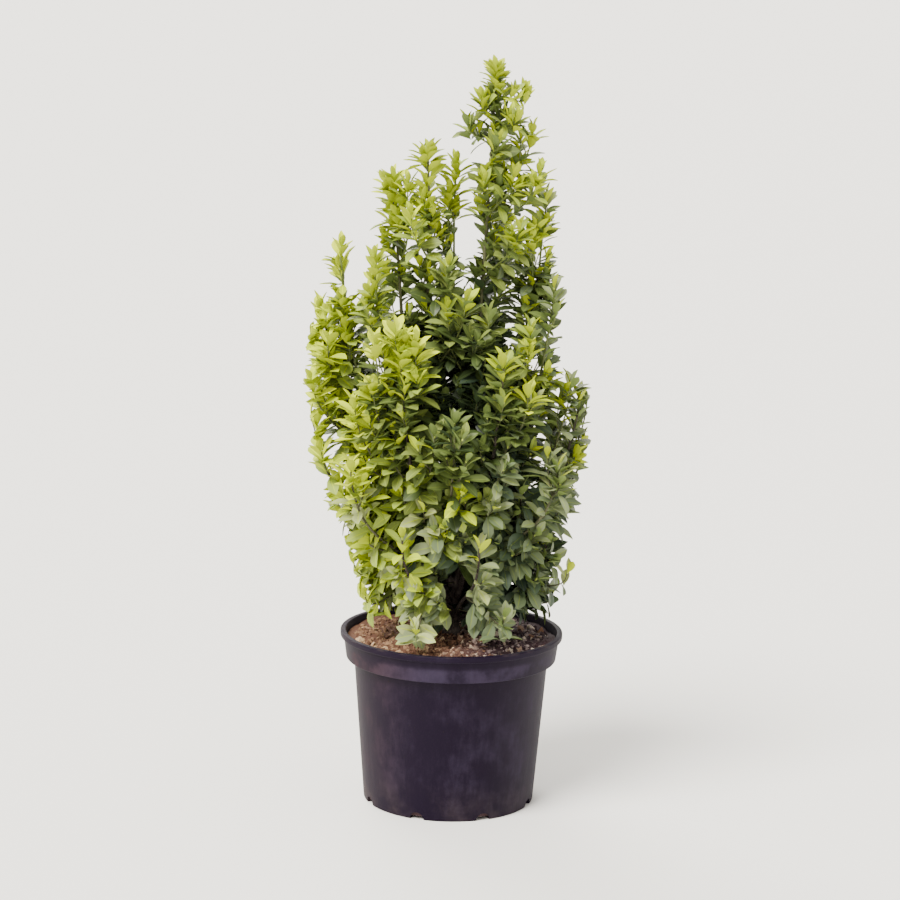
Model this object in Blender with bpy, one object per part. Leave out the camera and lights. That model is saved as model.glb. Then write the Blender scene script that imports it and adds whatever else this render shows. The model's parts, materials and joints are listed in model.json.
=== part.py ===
"""A young evergreen euonymus in its plastic nursery pot: pot, soil, trunk, boughs and masses of leaves.

Metres, +Z up. The origin is the centre of the pot's flat underside. The front is -Y.
Each shoot of the plant is one smooth curve. Its bare foot is a bough, and its upper part is the stem of
one mass of leaves, which keeps to the space that lies nearer to its own stem than to any other.
"""

import math
import random

import bmesh
import bpy
import numpy as np
from mathutils import Matrix, Quaternion, Vector

# Pot
POT_HEIGHT = 0.175
LIP_RADIUS = 0.1125
LIP_DEPTH = 0.006
BAND_TOP_RADIUS = 0.1092
BAND_FOOT_RADIUS = 0.1062
BAND_HEIGHT = 0.028
BAND_STEP = 0.0079
WALL_FOOT_RADIUS = 0.0865
WALL = 0.002
FLOOR = 0.003
FOOT_CHAMFER = 0.0015
POT_SIDES = 40
DRAIN_COUNT = 8
DRAIN_RADIUS = 0.0075
DRAIN_DEPTH = 0.012
DRAIN_TURN = math.radians(24)

# Soil
GAP = 0.0003
SOIL_EDGE_DROP = 0.008
SOIL_CROWN_DROP = 0.004
SOIL_LUMP = 0.0016
SOIL_RINGS = 5
SOIL_SIDES = 28

# Trunk
TRUNK_FOOT_RADIUS = 0.0105
TRUNK_RADIUS = 0.0068
TRUNK_HEAD_RADIUS = 0.0060
TRUNK_FLARE = 0.014
TRUNK_LENGTH = 0.058
TRUNK_LEAN = Vector((0.10, -0.04, 1.0)).normalized()
TRUNK_SIDES = 12

# Limbs
BOUGH_SHARE = 0.60
BOUGH_THINNEST = 0.0018
BOUGH_LEAST = 0.0016
BOUGH_PER_LENGTH = 0.0055
TIP_RADIUS = 0.0011
THICK_LIMB = 0.0026
THICK_LIMB_SIDES = 7
LIMB_SIDES = 5
STEM_SIDES = 4
LIMB_STEP = 0.030
STEM_STEP = 0.032
START_OUT = 0.6
START_UP = 0.8
END_OUT = 1.5
START_SWING = 0.42
MOST_SWING = 0.10
END_SWING = 0.40
CURVE_STEPS = 60
FINE_STEPS = 200
FIRST_SIDE = Vector((0.31, 0.95, 0.05))

# Leaves
LEAF_LENGTH = 0.056
LEAF_WIDTH = 0.0320
LEAF_THICKNESS = 0.0014
LEAF_RIB = 0.30
LEAF_WIDEST = 0.56
LEAF_FOLD = 0.0022
LEAF_DROOP = 0.08
LEAF_SUNK = 0.0002
LEAF_STEP = 0.0205
LOW_LEAF_SIZE = 1.10
TOP_LEAF_SIZE = 0.82
LOW_SPACING = 0.84
TOP_SPACING = 1.20
TIP_LEAF_ANGLE = math.radians(40)
FOOT_LEAF_ANGLE = math.radians(80)
HANGING_ANGLE = math.radians(30)
HANGING_HEIGHT = 0.16
LEAF_CLEAR = 0.0036
LEAF_LIFT = 0.35
LEAF_TRIES = ((1.0, 1.0), (0.7, 1.0), (1.25, 0.9), (0.5, 0.85), (1.0, 0.72), (0.7, 0.60))
LEAF_SWINGS = (0.0, 0.4, -0.4, 0.8, -0.8)
SAMPLE_ROWS = 7
SAMPLE_COLUMNS = (-1.0, -0.5, 0.0, 0.5, 1.0)
FOOT_PART = 0.35
TIP_REACH = 0.026
# The two pairs of young leaves at a growing tip: how far below it, how far they open, and their size.
TUFT = ((0.008, math.radians(40), 0.80), (0.0015, math.radians(17), 0.62))
TWIG_LENGTH = 0.036
TWIG_RADIUS = 0.0013
TWIG_SIDES = 3
TWIG_EVERY = 3
TWIG_HIGHEST = 0.8
TWIG_ANGLE = math.radians(52)
TWIG_LIFT = 0.25
TWIG_SWINGS = (0.0, 0.5, -0.5, 1.0, -1.0, 1.6, -1.6)
# The two pairs of leaves on a twig: how far along it, how far they open, their turn, and their size.
TWIG_PAIRS = ((0.52, math.radians(56), 0.0, 0.92), (0.96, math.radians(26), 1.5, 0.80))
SPACE_MARGIN = 0.0012
RIM_MARGIN = 0.0071
LIMB_MARGIN = 0.0014
GOLDEN_TURN = math.radians(137.5)
SEED = 20

# Masses whose tips are below these heights have old leaves, or full-grown ones. The rest are young.
OLD_LEAVES_TO = 0.40
LEAVES_TO = 0.56

# The crown's outline from the front: the height, and how far leaves reach to the left and to the right.
CROWN_DEPTH = 0.94
CROWN = (
    (0.178, -0.092, 0.092),
    (0.300, -0.122, 0.132),
    (0.400, -0.150, 0.143),
    (0.500, -0.154, 0.104),
    (0.570, -0.132, 0.094),
    (0.640, -0.082, 0.086),
    (0.690, -0.030, 0.078),
    (0.755, 0.010, 0.056),
)

# Each shoot: its parent, how far along the parent's bare part it leaves, the bare share of its own
# length, and where its topmost leaf points to.
SHOOTS = {
    "leader": ("trunk", 1.00, 0.40, (0.033, 0.000, 0.751)),
    "centre": ("trunk", 0.90, 0.48, (-0.034, -0.012, 0.672)),
    "left": ("trunk", 0.64, 0.52, (-0.070, 0.014, 0.642)),
    "back": ("trunk", 0.80, 0.36, (0.008, 0.092, 0.515)),
    "front_left": ("trunk", 0.52, 0.34, (-0.056, -0.096, 0.480)),
    "front_right": ("trunk", 0.72, 0.36, (0.046, -0.092, 0.476)),
    "back_left": ("trunk", 0.45, 0.38, (-0.082, 0.080, 0.548)),
    "back_right": ("trunk", 0.58, 0.36, (0.084, 0.080, 0.525)),
    "right": ("trunk", 0.44, 0.32, (0.126, -0.018, 0.432)),
    "centre_twin": ("centre", 0.76, 0.34, (-0.004, 0.026, 0.658)),
    "right_spire": ("leader", 0.64, 0.34, (0.087, 0.008, 0.627)),
    "back_spire": ("leader", 0.80, 0.28, (0.042, 0.062, 0.612)),
    "right_shoulder": ("leader", 0.34, 0.36, (0.096, -0.040, 0.543)),
    "left_shoulder": ("left", 0.68, 0.22, (-0.120, -0.004, 0.576)),
    "front_shoulder": ("left", 0.52, 0.34, (-0.084, -0.048, 0.570)),
    "far_left": ("left", 0.36, 0.28, (-0.142, 0.016, 0.514)),
    "front": ("front_right", 0.60, 0.22, (-0.002, -0.116, 0.420)),
    "low_left": ("left", 0.17, 0.22, (-0.142, -0.024, 0.400)),
    "low_right": ("right", 0.56, 0.20, (0.138, 0.028, 0.384)),
    "low_front_left": ("front_left", 0.50, 0.20, (-0.104, -0.088, 0.372)),
    "low_front_right": ("front_right", 0.34, 0.22, (0.102, -0.084, 0.374)),
    "low_back_left": ("back_left", 0.44, 0.22, (-0.108, 0.080, 0.385)),
    "low_back_right": ("back_right", 0.44, 0.22, (0.100, 0.090, 0.378)),
    "low_back": ("back", 0.38, 0.22, (-0.006, 0.122, 0.382)),
    "foot_front_left": ("trunk", 0.30, 0.00, (-0.052, -0.082, 0.300)),
    "foot_front_right": ("trunk", 0.34, 0.00, (0.026, -0.094, 0.296)),
    "foot_right": ("trunk", 0.27, 0.00, (0.096, -0.030, 0.292)),
    "foot_left": ("trunk", 0.27, 0.00, (-0.096, -0.006, 0.300)),
    "foot_back_left": ("trunk", 0.28, 0.00, (-0.046, 0.086, 0.300)),
    "foot_back_right": ("trunk", 0.27, 0.00, (0.058, 0.082, 0.296)),
}

TRUNK_HEIGHTS = (0.0, 0.3 * TRUNK_FLARE, TRUNK_FLARE, TRUNK_LENGTH)
TRUNK_RADII = (TRUNK_FOOT_RADIUS, 0.5 * (TRUNK_FOOT_RADIUS + TRUNK_RADIUS), TRUNK_RADIUS, TRUNK_HEAD_RADIUS)
SOIL_TOP = POT_HEIGHT - SOIL_CROWN_DROP
INNER_LIP_RADIUS = BAND_TOP_RADIUS - WALL
WALL_TOP_RADIUS = BAND_FOOT_RADIUS - BAND_STEP


def clear_scene():
    for thing in list(bpy.data.objects):
        bpy.data.objects.remove(thing, do_unlink=True)


def material(name, colour, roughness, metallic=0.0):
    made = bpy.data.materials.new(name)
    made.use_nodes = True
    shader = made.node_tree.nodes["Principled BSDF"]
    shader.inputs["Base Color"].default_value = (*colour, 1.0)
    shader.inputs["Roughness"].default_value = roughness
    shader.inputs["Metallic"].default_value = metallic
    return made


def add_object(name, mesh, finish):
    """The mesh as one named object of the scene, in one material."""
    mesh.materials.clear()
    mesh.materials.append(finish)
    made = bpy.data.objects.new(name, mesh)
    bpy.context.scene.collection.objects.link(made)
    return made


def mesh_of(points, faces):
    mesh = bpy.data.meshes.new("shape")
    mesh.from_pydata([tuple(p) for p in points], [], faces)
    mesh.update()
    return mesh


# Pot


def wall_radius(height):
    """Outer radius of the plain wall below the band."""
    share = height / (POT_HEIGHT - BAND_HEIGHT)
    return WALL_FOOT_RADIUS + (WALL_TOP_RADIUS - WALL_FOOT_RADIUS) * share


def turned(profile, sides):
    """A closed solid turned about Z from (radius, height) points that start and end on the axis."""
    mesh = bpy.data.meshes.new("turned")
    shape = bmesh.new()
    row = [shape.verts.new((radius, 0.0, height)) for radius, height in profile]
    edges = [shape.edges.new(pair) for pair in zip(row, row[1:])]
    bmesh.ops.spin(
        shape, geom=row + edges, axis=(0, 0, 1), cent=(0, 0, 0), angle=2 * math.pi, steps=sides
    )
    bmesh.ops.remove_doubles(shape, verts=shape.verts, dist=1e-6)
    bmesh.ops.recalc_face_normals(shape, faces=shape.faces)
    shape.to_mesh(mesh)
    shape.free()
    return mesh


def pot_profile():
    band_foot = POT_HEIGHT - BAND_HEIGHT
    return [
        (0.0, 0.0),
        (WALL_FOOT_RADIUS - FOOT_CHAMFER, 0.0),
        (WALL_FOOT_RADIUS, FOOT_CHAMFER),
        (WALL_TOP_RADIUS, band_foot),
        (BAND_FOOT_RADIUS, band_foot),
        (BAND_TOP_RADIUS, POT_HEIGHT - LIP_DEPTH),
        (LIP_RADIUS, POT_HEIGHT - LIP_DEPTH),
        (LIP_RADIUS, POT_HEIGHT),
        (INNER_LIP_RADIUS, POT_HEIGHT),
        (BAND_FOOT_RADIUS - WALL, band_foot + WALL),
        (WALL_TOP_RADIUS - WALL, band_foot + WALL),
        (wall_radius(FLOOR) - WALL, FLOOR),
        (0.0, FLOOR),
    ]


def drain_cutters():
    """Round bars that lie across the foot and cut an arch through wall and floor at each drain hole."""
    group = bpy.data.collections.new("drains")
    for index in range(DRAIN_COUNT):
        turn = DRAIN_TURN + 2 * math.pi * index / DRAIN_COUNT
        bar = bmesh.new()
        place = Matrix.Rotation(turn, 4, "Z") @ Matrix.Translation((WALL_FOOT_RADIUS, 0.0, 0.0))
        bmesh.ops.create_cone(
            bar,
            cap_ends=True,
            segments=12,
            radius1=DRAIN_RADIUS,
            radius2=DRAIN_RADIUS,
            depth=2 * DRAIN_DEPTH,
            matrix=place @ Matrix.Rotation(math.radians(90), 4, "Y"),
        )
        mesh = bpy.data.meshes.new("drain")
        bar.to_mesh(mesh)
        bar.free()
        group.objects.link(bpy.data.objects.new("drain", mesh))
    return group


def fuse(base, group, operation):
    """Changes the base object by one Boolean with a collection, whose objects are then removed."""
    change = base.modifiers.new("fuse", "BOOLEAN")
    change.operation = operation
    change.operand_type = "COLLECTION"
    change.collection = group
    change.solver = "EXACT"
    graph = bpy.context.evaluated_depsgraph_get()
    mesh = bpy.data.meshes.new_from_object(base.evaluated_get(graph))
    base.modifiers.clear()
    old = base.data
    base.data = mesh
    bpy.data.meshes.remove(old)
    for tool in list(group.objects):
        bpy.data.objects.remove(tool, do_unlink=True)
    bpy.data.collections.remove(group)


def make_pot(finish):
    pot = add_object("pot", turned(pot_profile(), POT_SIDES), finish)
    fuse(pot, drain_cutters(), "DIFFERENCE")
    pot.data.shade_smooth()
    pot.data.set_sharp_from_angle(angle=math.radians(30))


# Soil


def soil_height(x, y):
    """The uneven top of the soil: a low crown, lumps, and a level spot where the trunk stands."""
    radius = math.hypot(x, y)
    share = min(1.0, radius / INNER_LIP_RADIUS)
    drop = SOIL_CROWN_DROP + (SOIL_EDGE_DROP - SOIL_CROWN_DROP) * share**2
    lump = math.sin(71 * x + 1.3) * math.cos(83 * y + 0.4) + 0.6 * math.sin(140 * x - 97 * y)
    away = min(1.0, max(0.0, (radius - 1.6 * TRUNK_FOOT_RADIUS) / (2 * TRUNK_FOOT_RADIUS)))
    return POT_HEIGHT - (SOIL_CROWN_DROP + (drop - SOIL_CROWN_DROP) * away) + SOIL_LUMP * lump * away


def soil_edge_radius(height):
    """The pot's inner wall, less the gap that keeps soil and pot apart."""
    band_foot = POT_HEIGHT - BAND_HEIGHT
    if height > band_foot:
        share = (height - band_foot) / BAND_HEIGHT
        wide = BAND_FOOT_RADIUS + (BAND_TOP_RADIUS - BAND_FOOT_RADIUS) * share
        return wide - WALL - 3 * GAP
    return wall_radius(height) - WALL - 2 * GAP


def make_soil(finish):
    band_foot = POT_HEIGHT - BAND_HEIGHT
    turns = [2 * math.pi * index / SOIL_SIDES for index in range(SOIL_SIDES)]
    rim = soil_edge_radius(POT_HEIGHT - SOIL_EDGE_DROP)
    rings = []
    for step in range(1, SOIL_RINGS + 1):
        radius = rim * (step / SOIL_RINGS) ** 0.85
        spots = [(radius * math.cos(t), radius * math.sin(t)) for t in turns]
        rings.append([(x, y, soil_height(x, y)) for x, y in spots])
    ledge = band_foot + WALL + 2 * GAP
    for inside, height in ((ledge, ledge), (band_foot, ledge), (FLOOR + GAP, FLOOR + GAP)):
        radius = soil_edge_radius(inside)
        rings.append([(radius * math.cos(t), radius * math.sin(t), height) for t in turns])
    points = [(0.0, 0.0, soil_height(0.0, 0.0))] + [p for ring in rings for p in ring]
    faces = [(0, 1 + i, 1 + (i + 1) % SOIL_SIDES) for i in range(SOIL_SIDES)]
    for row in range(len(rings) - 1):
        first = 1 + row * SOIL_SIDES
        for i in range(SOIL_SIDES):
            j = (i + 1) % SOIL_SIDES
            faces.append((first + i, first + SOIL_SIDES + i, first + SOIL_SIDES + j, first + j))
    last = 1 + (len(rings) - 1) * SOIL_SIDES
    faces.append(tuple(last + i for i in reversed(range(SOIL_SIDES))))
    add_object("soil", mesh_of(points, faces), finish)


# Limbs


def turn_to(tangent, side):
    """A unit vector across the tangent, as near to side as it can be."""
    across = side - tangent * side.dot(tangent)
    return across.normalized()


def tube_mesh(path, radii, sides, first_normal=None):
    """A tapering limb round a path of points, with flat ends. Its first end may face another way."""
    points, rings = [], []
    side = turn_to((path[1] - path[0]).normalized(), FIRST_SIDE)
    for index, (spot, radius) in enumerate(zip(path, radii)):
        before, after = path[max(0, index - 1)], path[min(len(path) - 1, index + 1)]
        tangent = (after - before).normalized()
        if index == 0 and first_normal is not None:
            tangent = first_normal
        side = turn_to(tangent, side)
        other = tangent.cross(side)
        ring = []
        for corner in range(sides):
            turn = 2 * math.pi * corner / sides
            ring.append(len(points))
            points.append(spot + (side * math.cos(turn) + other * math.sin(turn)) * radius)
        rings.append(ring)
    faces = [tuple(reversed(rings[0])), tuple(rings[-1])]
    for low, high in zip(rings, rings[1:]):
        for corner in range(sides):
            after = (corner + 1) % sides
            faces.append((low[corner], low[after], high[after], high[corner]))
    return mesh_of(points, faces)


def curve_through(start, start_way, end, end_way, count):
    """Points of a cubic curve, evenly spread along its length."""
    span = (end - start).length
    out = start_way * min(START_SWING * span, MOST_SWING)
    handles = (start, start + out, end - end_way * span * END_SWING, end)

    def at(share):
        rest = 1 - share
        weights = (rest**3, 3 * rest**2 * share, 3 * rest * share**2, share**3)
        return sum((h * w for h, w in zip(handles, weights)), Vector((0.0, 0.0, 0.0)))

    fine = [at(i / FINE_STEPS) for i in range(FINE_STEPS + 1)]
    run = [0.0]
    for a, b in zip(fine, fine[1:]):
        run.append(run[-1] + (b - a).length)
    spots = []
    for step in range(count + 1):
        goal = run[-1] * step / count
        place = min(range(len(run)), key=lambda i: abs(run[i] - goal))
        spots.append(fine[place])
    return spots


def along(path, share):
    """The point and direction at a share of a path's points."""
    place = share * (len(path) - 1)
    low = min(int(place), len(path) - 2)
    spot = path[low].lerp(path[low + 1], place - low)
    return spot, (path[low + 1] - path[low]).normalized()


def trunk_radius(share):
    """The trunk's radius at a share of its length: the flare at the soil, then a slow taper."""
    return float(np.interp(share * TRUNK_LENGTH, TRUNK_HEIGHTS, TRUNK_RADII))


def make_trunk(finish):
    """The short main stem: it flares at the soil and leans a little. Returns it as a shoot."""
    foot = Vector((0.0, 0.0, SOIL_TOP + GAP))
    path = [foot + TRUNK_LEAN * height for height in TRUNK_HEIGHTS]
    add_object("trunk", tube_mesh(path, TRUNK_RADII, TRUNK_SIDES, Vector((0, 0, 1))), finish)
    even = [foot + TRUNK_LEAN * (TRUNK_LENGTH * i / 8) for i in range(9)]
    return {"bare": even, "radius": trunk_radius}


def picked(path, first, last, count):
    """Points of the path from its first to its last step, count pieces apart."""
    return [path[round(first + (last - first) * i / count)] for i in range(count + 1)]


def plan_shoot(name, shoots):
    """Works out a shoot's curve and radii from its row, on a parent that is already planned."""
    parent_name, leaves_at, bare_share, tip = SHOOTS[name]
    parent = shoots[parent_name]
    spot, way = along(parent["bare"], leaves_at)
    tip = Vector(tip)
    thick = parent["radius"](leaves_at)
    if leaves_at == 1.0:
        normal = way
        start = spot + way * GAP
    else:
        normal = turn_to(way, tip - spot)
        start = spot + normal * (thick + GAP)
    start_way = (normal * START_OUT + way * START_UP).normalized()
    outward = Vector((tip.x - spot.x, tip.y - spot.y, 0.0))
    end_way = (Vector((0, 0, 1)) + outward * END_OUT).normalized()
    end = tip - end_way * TIP_REACH
    length = (end - start).length
    base_radius = max(BOUGH_THINNEST, min(thick * BOUGH_SHARE, BOUGH_LEAST + BOUGH_PER_LENGTH * length))
    split_radius = base_radius + (TIP_RADIUS - base_radius) * bare_share
    path = curve_through(start, start_way, end, end_way, CURVE_STEPS)
    split = round(CURVE_STEPS * bare_share)
    leafy = picked(path, split, CURVE_STEPS, max(4, round(length * (1 - bare_share) / STEM_STEP)))
    bare = []
    leafy_normal = normal
    if split:
        bare = picked(path, 0, split, max(2, round(length * bare_share / LIMB_STEP)))
        leafy_normal = (path[split + 1] - path[split - 1]).normalized()
        leafy[0] = leafy[0] + leafy_normal * GAP
    return {
        "bare": bare,
        "leafy": leafy,
        "normal": normal,
        "leafy_normal": leafy_normal,
        "base_radius": base_radius,
        "split_radius": split_radius,
        "radius": lambda share: base_radius + (split_radius - base_radius) * share,
    }


def spread(first, last, count):
    return [first + (last - first) * i / (count - 1) for i in range(count)]


def make_bough(name, shoot, finish):
    """The bare foot of a shoot, as one tapering limb that ends where its leaves begin."""
    path = shoot["bare"]
    radii = spread(shoot["base_radius"], shoot["split_radius"], len(path))
    sides = THICK_LIMB_SIDES if shoot["base_radius"] > THICK_LIMB else LIMB_SIDES
    mesh = tube_mesh(path, radii, sides, shoot["normal"])
    last = len(path) - 1
    for corner in range(sides):
        point = mesh.vertices[last * sides + corner]
        away = Vector(point.co) - path[last]
        level = away - shoot["leafy_normal"] * away.dot(shoot["leafy_normal"])
        point.co = path[last] + level.normalized() * radii[-1]
    add_object("bough_" + name, mesh, finish)


# Space of each mass


def distances(points, starts, ends):
    """The distance of each point to each straight piece, as an array of points by pieces."""
    runs = ends - starts
    offsets = points[:, None, :] - starts[None, :, :]
    share = np.einsum("pij,ij->pi", offsets, runs) / np.einsum("ij,ij->i", runs, runs)
    nearest = starts[None] + np.clip(share, 0.0, 1.0)[:, :, None] * runs[None]
    return np.linalg.norm(points[:, None, :] - nearest, axis=2)


class Room:
    """The space round the limbs: which mass a point belongs to, and whether something is in its way."""

    def __init__(self, shoots):
        self.names = [name for name in shoots if name != "trunk"]
        starts, ends, owners = [], [], []
        for number, name in enumerate(self.names):
            path = shoots[name]["leafy"]
            for a, b in zip(path, path[1:]):
                starts.append(a)
                ends.append(b)
                owners.append(number)
        self.axis_starts = np.array(starts)
        self.axis_ends = np.array(ends)
        self.owners = np.array(owners)
        starts, ends, radii = [], [], []
        for shoot in shoots.values():
            path = shoot["bare"]
            for index, (a, b) in enumerate(zip(path, path[1:])):
                starts.append(a)
                ends.append(b)
                radii.append(shoot["radius"](index / (len(path) - 1)))
        self.limb_starts = np.array(starts)
        self.limb_ends = np.array(ends)
        self.limb_radii = np.array(radii)

    def holds(self, name, points):
        """True where all the points keep to this mass's own space, to the crown, and clear of the rest."""
        own = self.owners == self.names.index(name)
        gaps = distances(points, self.axis_starts, self.axis_ends)
        near_own = gaps[:, own].min(axis=1)
        near_other = gaps[:, ~own].min(axis=1)
        if (near_own + 2 * SPACE_MARGIN > near_other).any():
            return False
        gaps = distances(points, self.limb_starts, self.limb_ends) - self.limb_radii
        if gaps.min() < LIMB_MARGIN:
            return False
        heights, lefts, rights = np.array(CROWN).T
        left = np.interp(points[:, 2], heights, lefts)
        right = np.interp(points[:, 2], heights, rights)
        across = (2 * points[:, 0] - left - right) / (right - left)
        deep = 2 * points[:, 1] / (CROWN_DEPTH * (right - left))
        if (np.hypot(across, deep) > 1).any():
            return False
        radius = np.hypot(points[:, 0], points[:, 1])
        low = points[:, 2] < POT_HEIGHT + 2 * SPACE_MARGIN
        in_wall = low & (radius > INNER_LIP_RADIUS - RIM_MARGIN)
        in_soil = points[:, 2] < SOIL_TOP + 3 * SOIL_LUMP
        return not (in_wall | in_soil).any()


# Leaves and twigs


def leaf_frame(way, up):
    """Direction, side and face normal of a leaf that points along way with its face towards up."""
    side = way.cross(up).normalized()
    return way, side, side.cross(way).normalized()


def leaf_points(root, way, up, length):
    """The six corners of a leaf: base, tip, left, right, and its midrib above and below."""
    way, side, face = leaf_frame(way, up)
    width = LEAF_WIDTH * length / LEAF_LENGTH
    middle = root + way * length * LEAF_WIDEST
    tip = root + way * length - face * length * LEAF_DROOP
    left = middle + side * width / 2 + face * LEAF_FOLD
    right = middle - side * width / 2 + face * LEAF_FOLD
    rib = root.lerp(tip, LEAF_RIB)
    half = face * LEAF_THICKNESS / 2
    return [root, tip, left, right, rib + half, rib - half]


LEAF_FACES = [
    (0, 4, 2), (2, 4, 1), (1, 4, 3), (3, 4, 0),
    (0, 2, 5), (2, 1, 5), (1, 3, 5), (3, 0, 5),
]


def leaf_samples(corners):
    """Points spread over a leaf, close enough that no limb slips between: its foot, then its blade."""
    base, tip, left, right = corners[:4]
    foot, blade = [], [left, right]
    for step in range(1, SAMPLE_ROWS + 1):
        share = step / SAMPLE_ROWS
        spine = base.lerp(tip, share)
        reach = share / LEAF_WIDEST if share < LEAF_WIDEST else (1 - share) / (1 - LEAF_WIDEST)
        part = foot if share < FOOT_PART else blade
        part += [spine + (right - left) * across * 0.5 * reach for across in SAMPLE_COLUMNS]
    return np.array(foot), np.array(blade)


def tilted(way, around, angle, turn):
    """A direction at an angle to way, turned about it from around."""
    out = Quaternion(way, turn) @ turn_to(way, around)
    return (way * math.cos(angle) + out * math.sin(angle)).normalized()


def by_height(height, low, top):
    """A value that changes evenly from the foot of the crown to its top."""
    share = (height - POT_HEIGHT) / (CROWN[-1][0] - POT_HEIGHT)
    return low + (top - low) * max(0.0, min(1.0, share))


class Mass:
    """One mass of leaves as it grows: a stem, its twigs and its leaves."""

    def __init__(self, name, shoot, room):
        self.name = name
        self.shoot = shoot
        self.room = room
        self.chance = random.Random(f"{SEED} {name}")
        self.pieces = []
        self.blades = []
        self.feet = []

    def is_free(self, foot, blade):
        """True where a new leaf crosses no leaf or twig that this mass already has."""
        pairs = [(blade, other) for other in self.blades + self.feet]
        pairs += [(foot, other) for other in self.blades]
        for new, old in pairs:
            if np.linalg.norm(new[:, None] - old[None], axis=2).min() < LEAF_CLEAR:
                return False
        return True

    def add_leaf(self, spot, way, angle, turn, length):
        """Puts a leaf on a stem at a spot. It tries a steeper and a shorter leaf before it gives up."""
        for steeper, shorter in LEAF_TRIES:
            for swing in LEAF_SWINGS:
                reach = tilted(way, Vector((1, 0, 0)), angle * steeper, turn + swing)
                up = (way + Vector((0, 0, LEAF_LIFT))).normalized()
                corners = leaf_points(spot - reach * LEAF_SUNK, reach, up, length * shorter)
                foot, blade = leaf_samples(corners)
                if not self.is_free(foot, blade):
                    continue
                if self.room.holds(self.name, np.concatenate((foot, blade))):
                    self.pieces.append(mesh_of(corners, LEAF_FACES))
                    self.blades.append(blade)
                    self.feet.append(foot)
                    return

    def add_pair(self, spot, way, angle, turn, length):
        for half in (0.0, math.pi):
            lean = angle * self.chance.uniform(0.88, 1.12)
            size = length * self.chance.uniform(0.9, 1.08)
            self.add_leaf(spot, way, lean, turn + half + self.chance.uniform(-0.2, 0.2), size)

    def add_tuft(self, spot, way, turn, length):
        """The young leaves that stand round a growing tip."""
        for below, angle, size in TUFT:
            self.add_pair(spot - way * below, way, angle, turn, length * size)
            turn += math.pi / 2

    def add_twig(self, spot, way, turn, length):
        """A short three-sided twig with leaves in pairs, where its end finds room."""
        for swing in TWIG_SWINGS:
            reach = tilted(way, Vector((1, 0, 0)), TWIG_ANGLE, turn + swing)
            end = spot + (reach + Vector((0, 0, TWIG_LIFT))).normalized() * length
            line = np.array([spot.lerp(end, share) for share in (0.3, 0.5, 0.75, 1.0)])
            if not self.room.holds(self.name, line) or not self.is_free(line[:1], line):
                continue
            self.pieces.append(tube_mesh([spot, end], [TWIG_RADIUS * 1.1, TWIG_RADIUS * 0.8], TWIG_SIDES))
            leaf_way = (end - spot).normalized()
            size = LEAF_LENGTH * by_height(spot.z, LOW_LEAF_SIZE, TOP_LEAF_SIZE)
            for share, angle, more_turn, part in TWIG_PAIRS:
                self.add_pair(spot.lerp(end, share), leaf_way, angle, turn + more_turn, size * part)
            return

    def grow(self):
        path = self.shoot["leafy"]
        length = sum((b - a).length for a, b in zip(path, path[1:]))
        middle_height = along(path, 0.5)[0].z
        nodes = max(3, round(length / (LEAF_STEP * by_height(middle_height, LOW_SPACING, TOP_SPACING))))
        turn = self.chance.uniform(0, math.pi)
        low_turn = self.chance.uniform(0, 2 * math.pi)
        for node in range(1, nodes):
            share = node / nodes
            spot, way = along(path, share)
            turn += math.pi / 2 + self.chance.uniform(-0.15, 0.15)
            age = 1.0 - share
            low = 1.0 - min(1.0, (spot.z - POT_HEIGHT) / HANGING_HEIGHT)
            angle = TIP_LEAF_ANGLE + (FOOT_LEAF_ANGLE - TIP_LEAF_ANGLE) * age + HANGING_ANGLE * low
            size = LEAF_LENGTH * by_height(spot.z, LOW_LEAF_SIZE, TOP_LEAF_SIZE)
            self.add_pair(spot, way, angle, turn, size)
            if node % TWIG_EVERY == 1 and share < TWIG_HIGHEST:
                low_turn += GOLDEN_TURN
                size = TWIG_LENGTH * (1.15 - 0.4 * share) * self.chance.uniform(0.9, 1.1)
                self.add_twig(spot, way, low_turn, size)
        end, way = along(path, 1.0)
        self.add_tuft(end, way, turn + math.pi / 2, LEAF_LENGTH)

    def build(self, finish):
        path = self.shoot["leafy"]
        radii = spread(self.shoot["split_radius"], TIP_RADIUS, len(path))
        stem = tube_mesh(path, radii, STEM_SIDES, self.shoot["leafy_normal"])
        made = add_object("leaves_" + self.name, stem, finish)
        group = bpy.data.collections.new(self.name)
        for piece in self.pieces:
            group.objects.link(bpy.data.objects.new("piece", piece))
        fuse(made, group, "UNION")
        keep_largest_body(made.data)


def body_volume(faces):
    total = 0.0
    for face in faces:
        corners = [corner.co for corner in face.verts]
        for second, third in zip(corners[1:], corners[2:]):
            total += corners[0].dot(second.cross(third)) / 6
    return total


def keep_largest_body(mesh):
    """Fills hollows that fusing sealed and drops scraps, by keeping only the largest closed shell."""
    shape = bmesh.new()
    shape.from_mesh(mesh)
    bmesh.ops.triangulate(shape, faces=shape.faces)
    left = set(shape.faces)
    bodies = []
    while left:
        body, front = [], [left.pop()]
        while front:
            face = front.pop()
            body.append(face)
            for edge in face.edges:
                for near in edge.link_faces:
                    if near in left:
                        left.discard(near)
                        front.append(near)
        bodies.append(body)
    bodies.sort(key=body_volume)
    for body in bodies[:-1]:
        bmesh.ops.delete(shape, geom=body, context="FACES")
    shape.to_mesh(mesh)
    shape.free()


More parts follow.
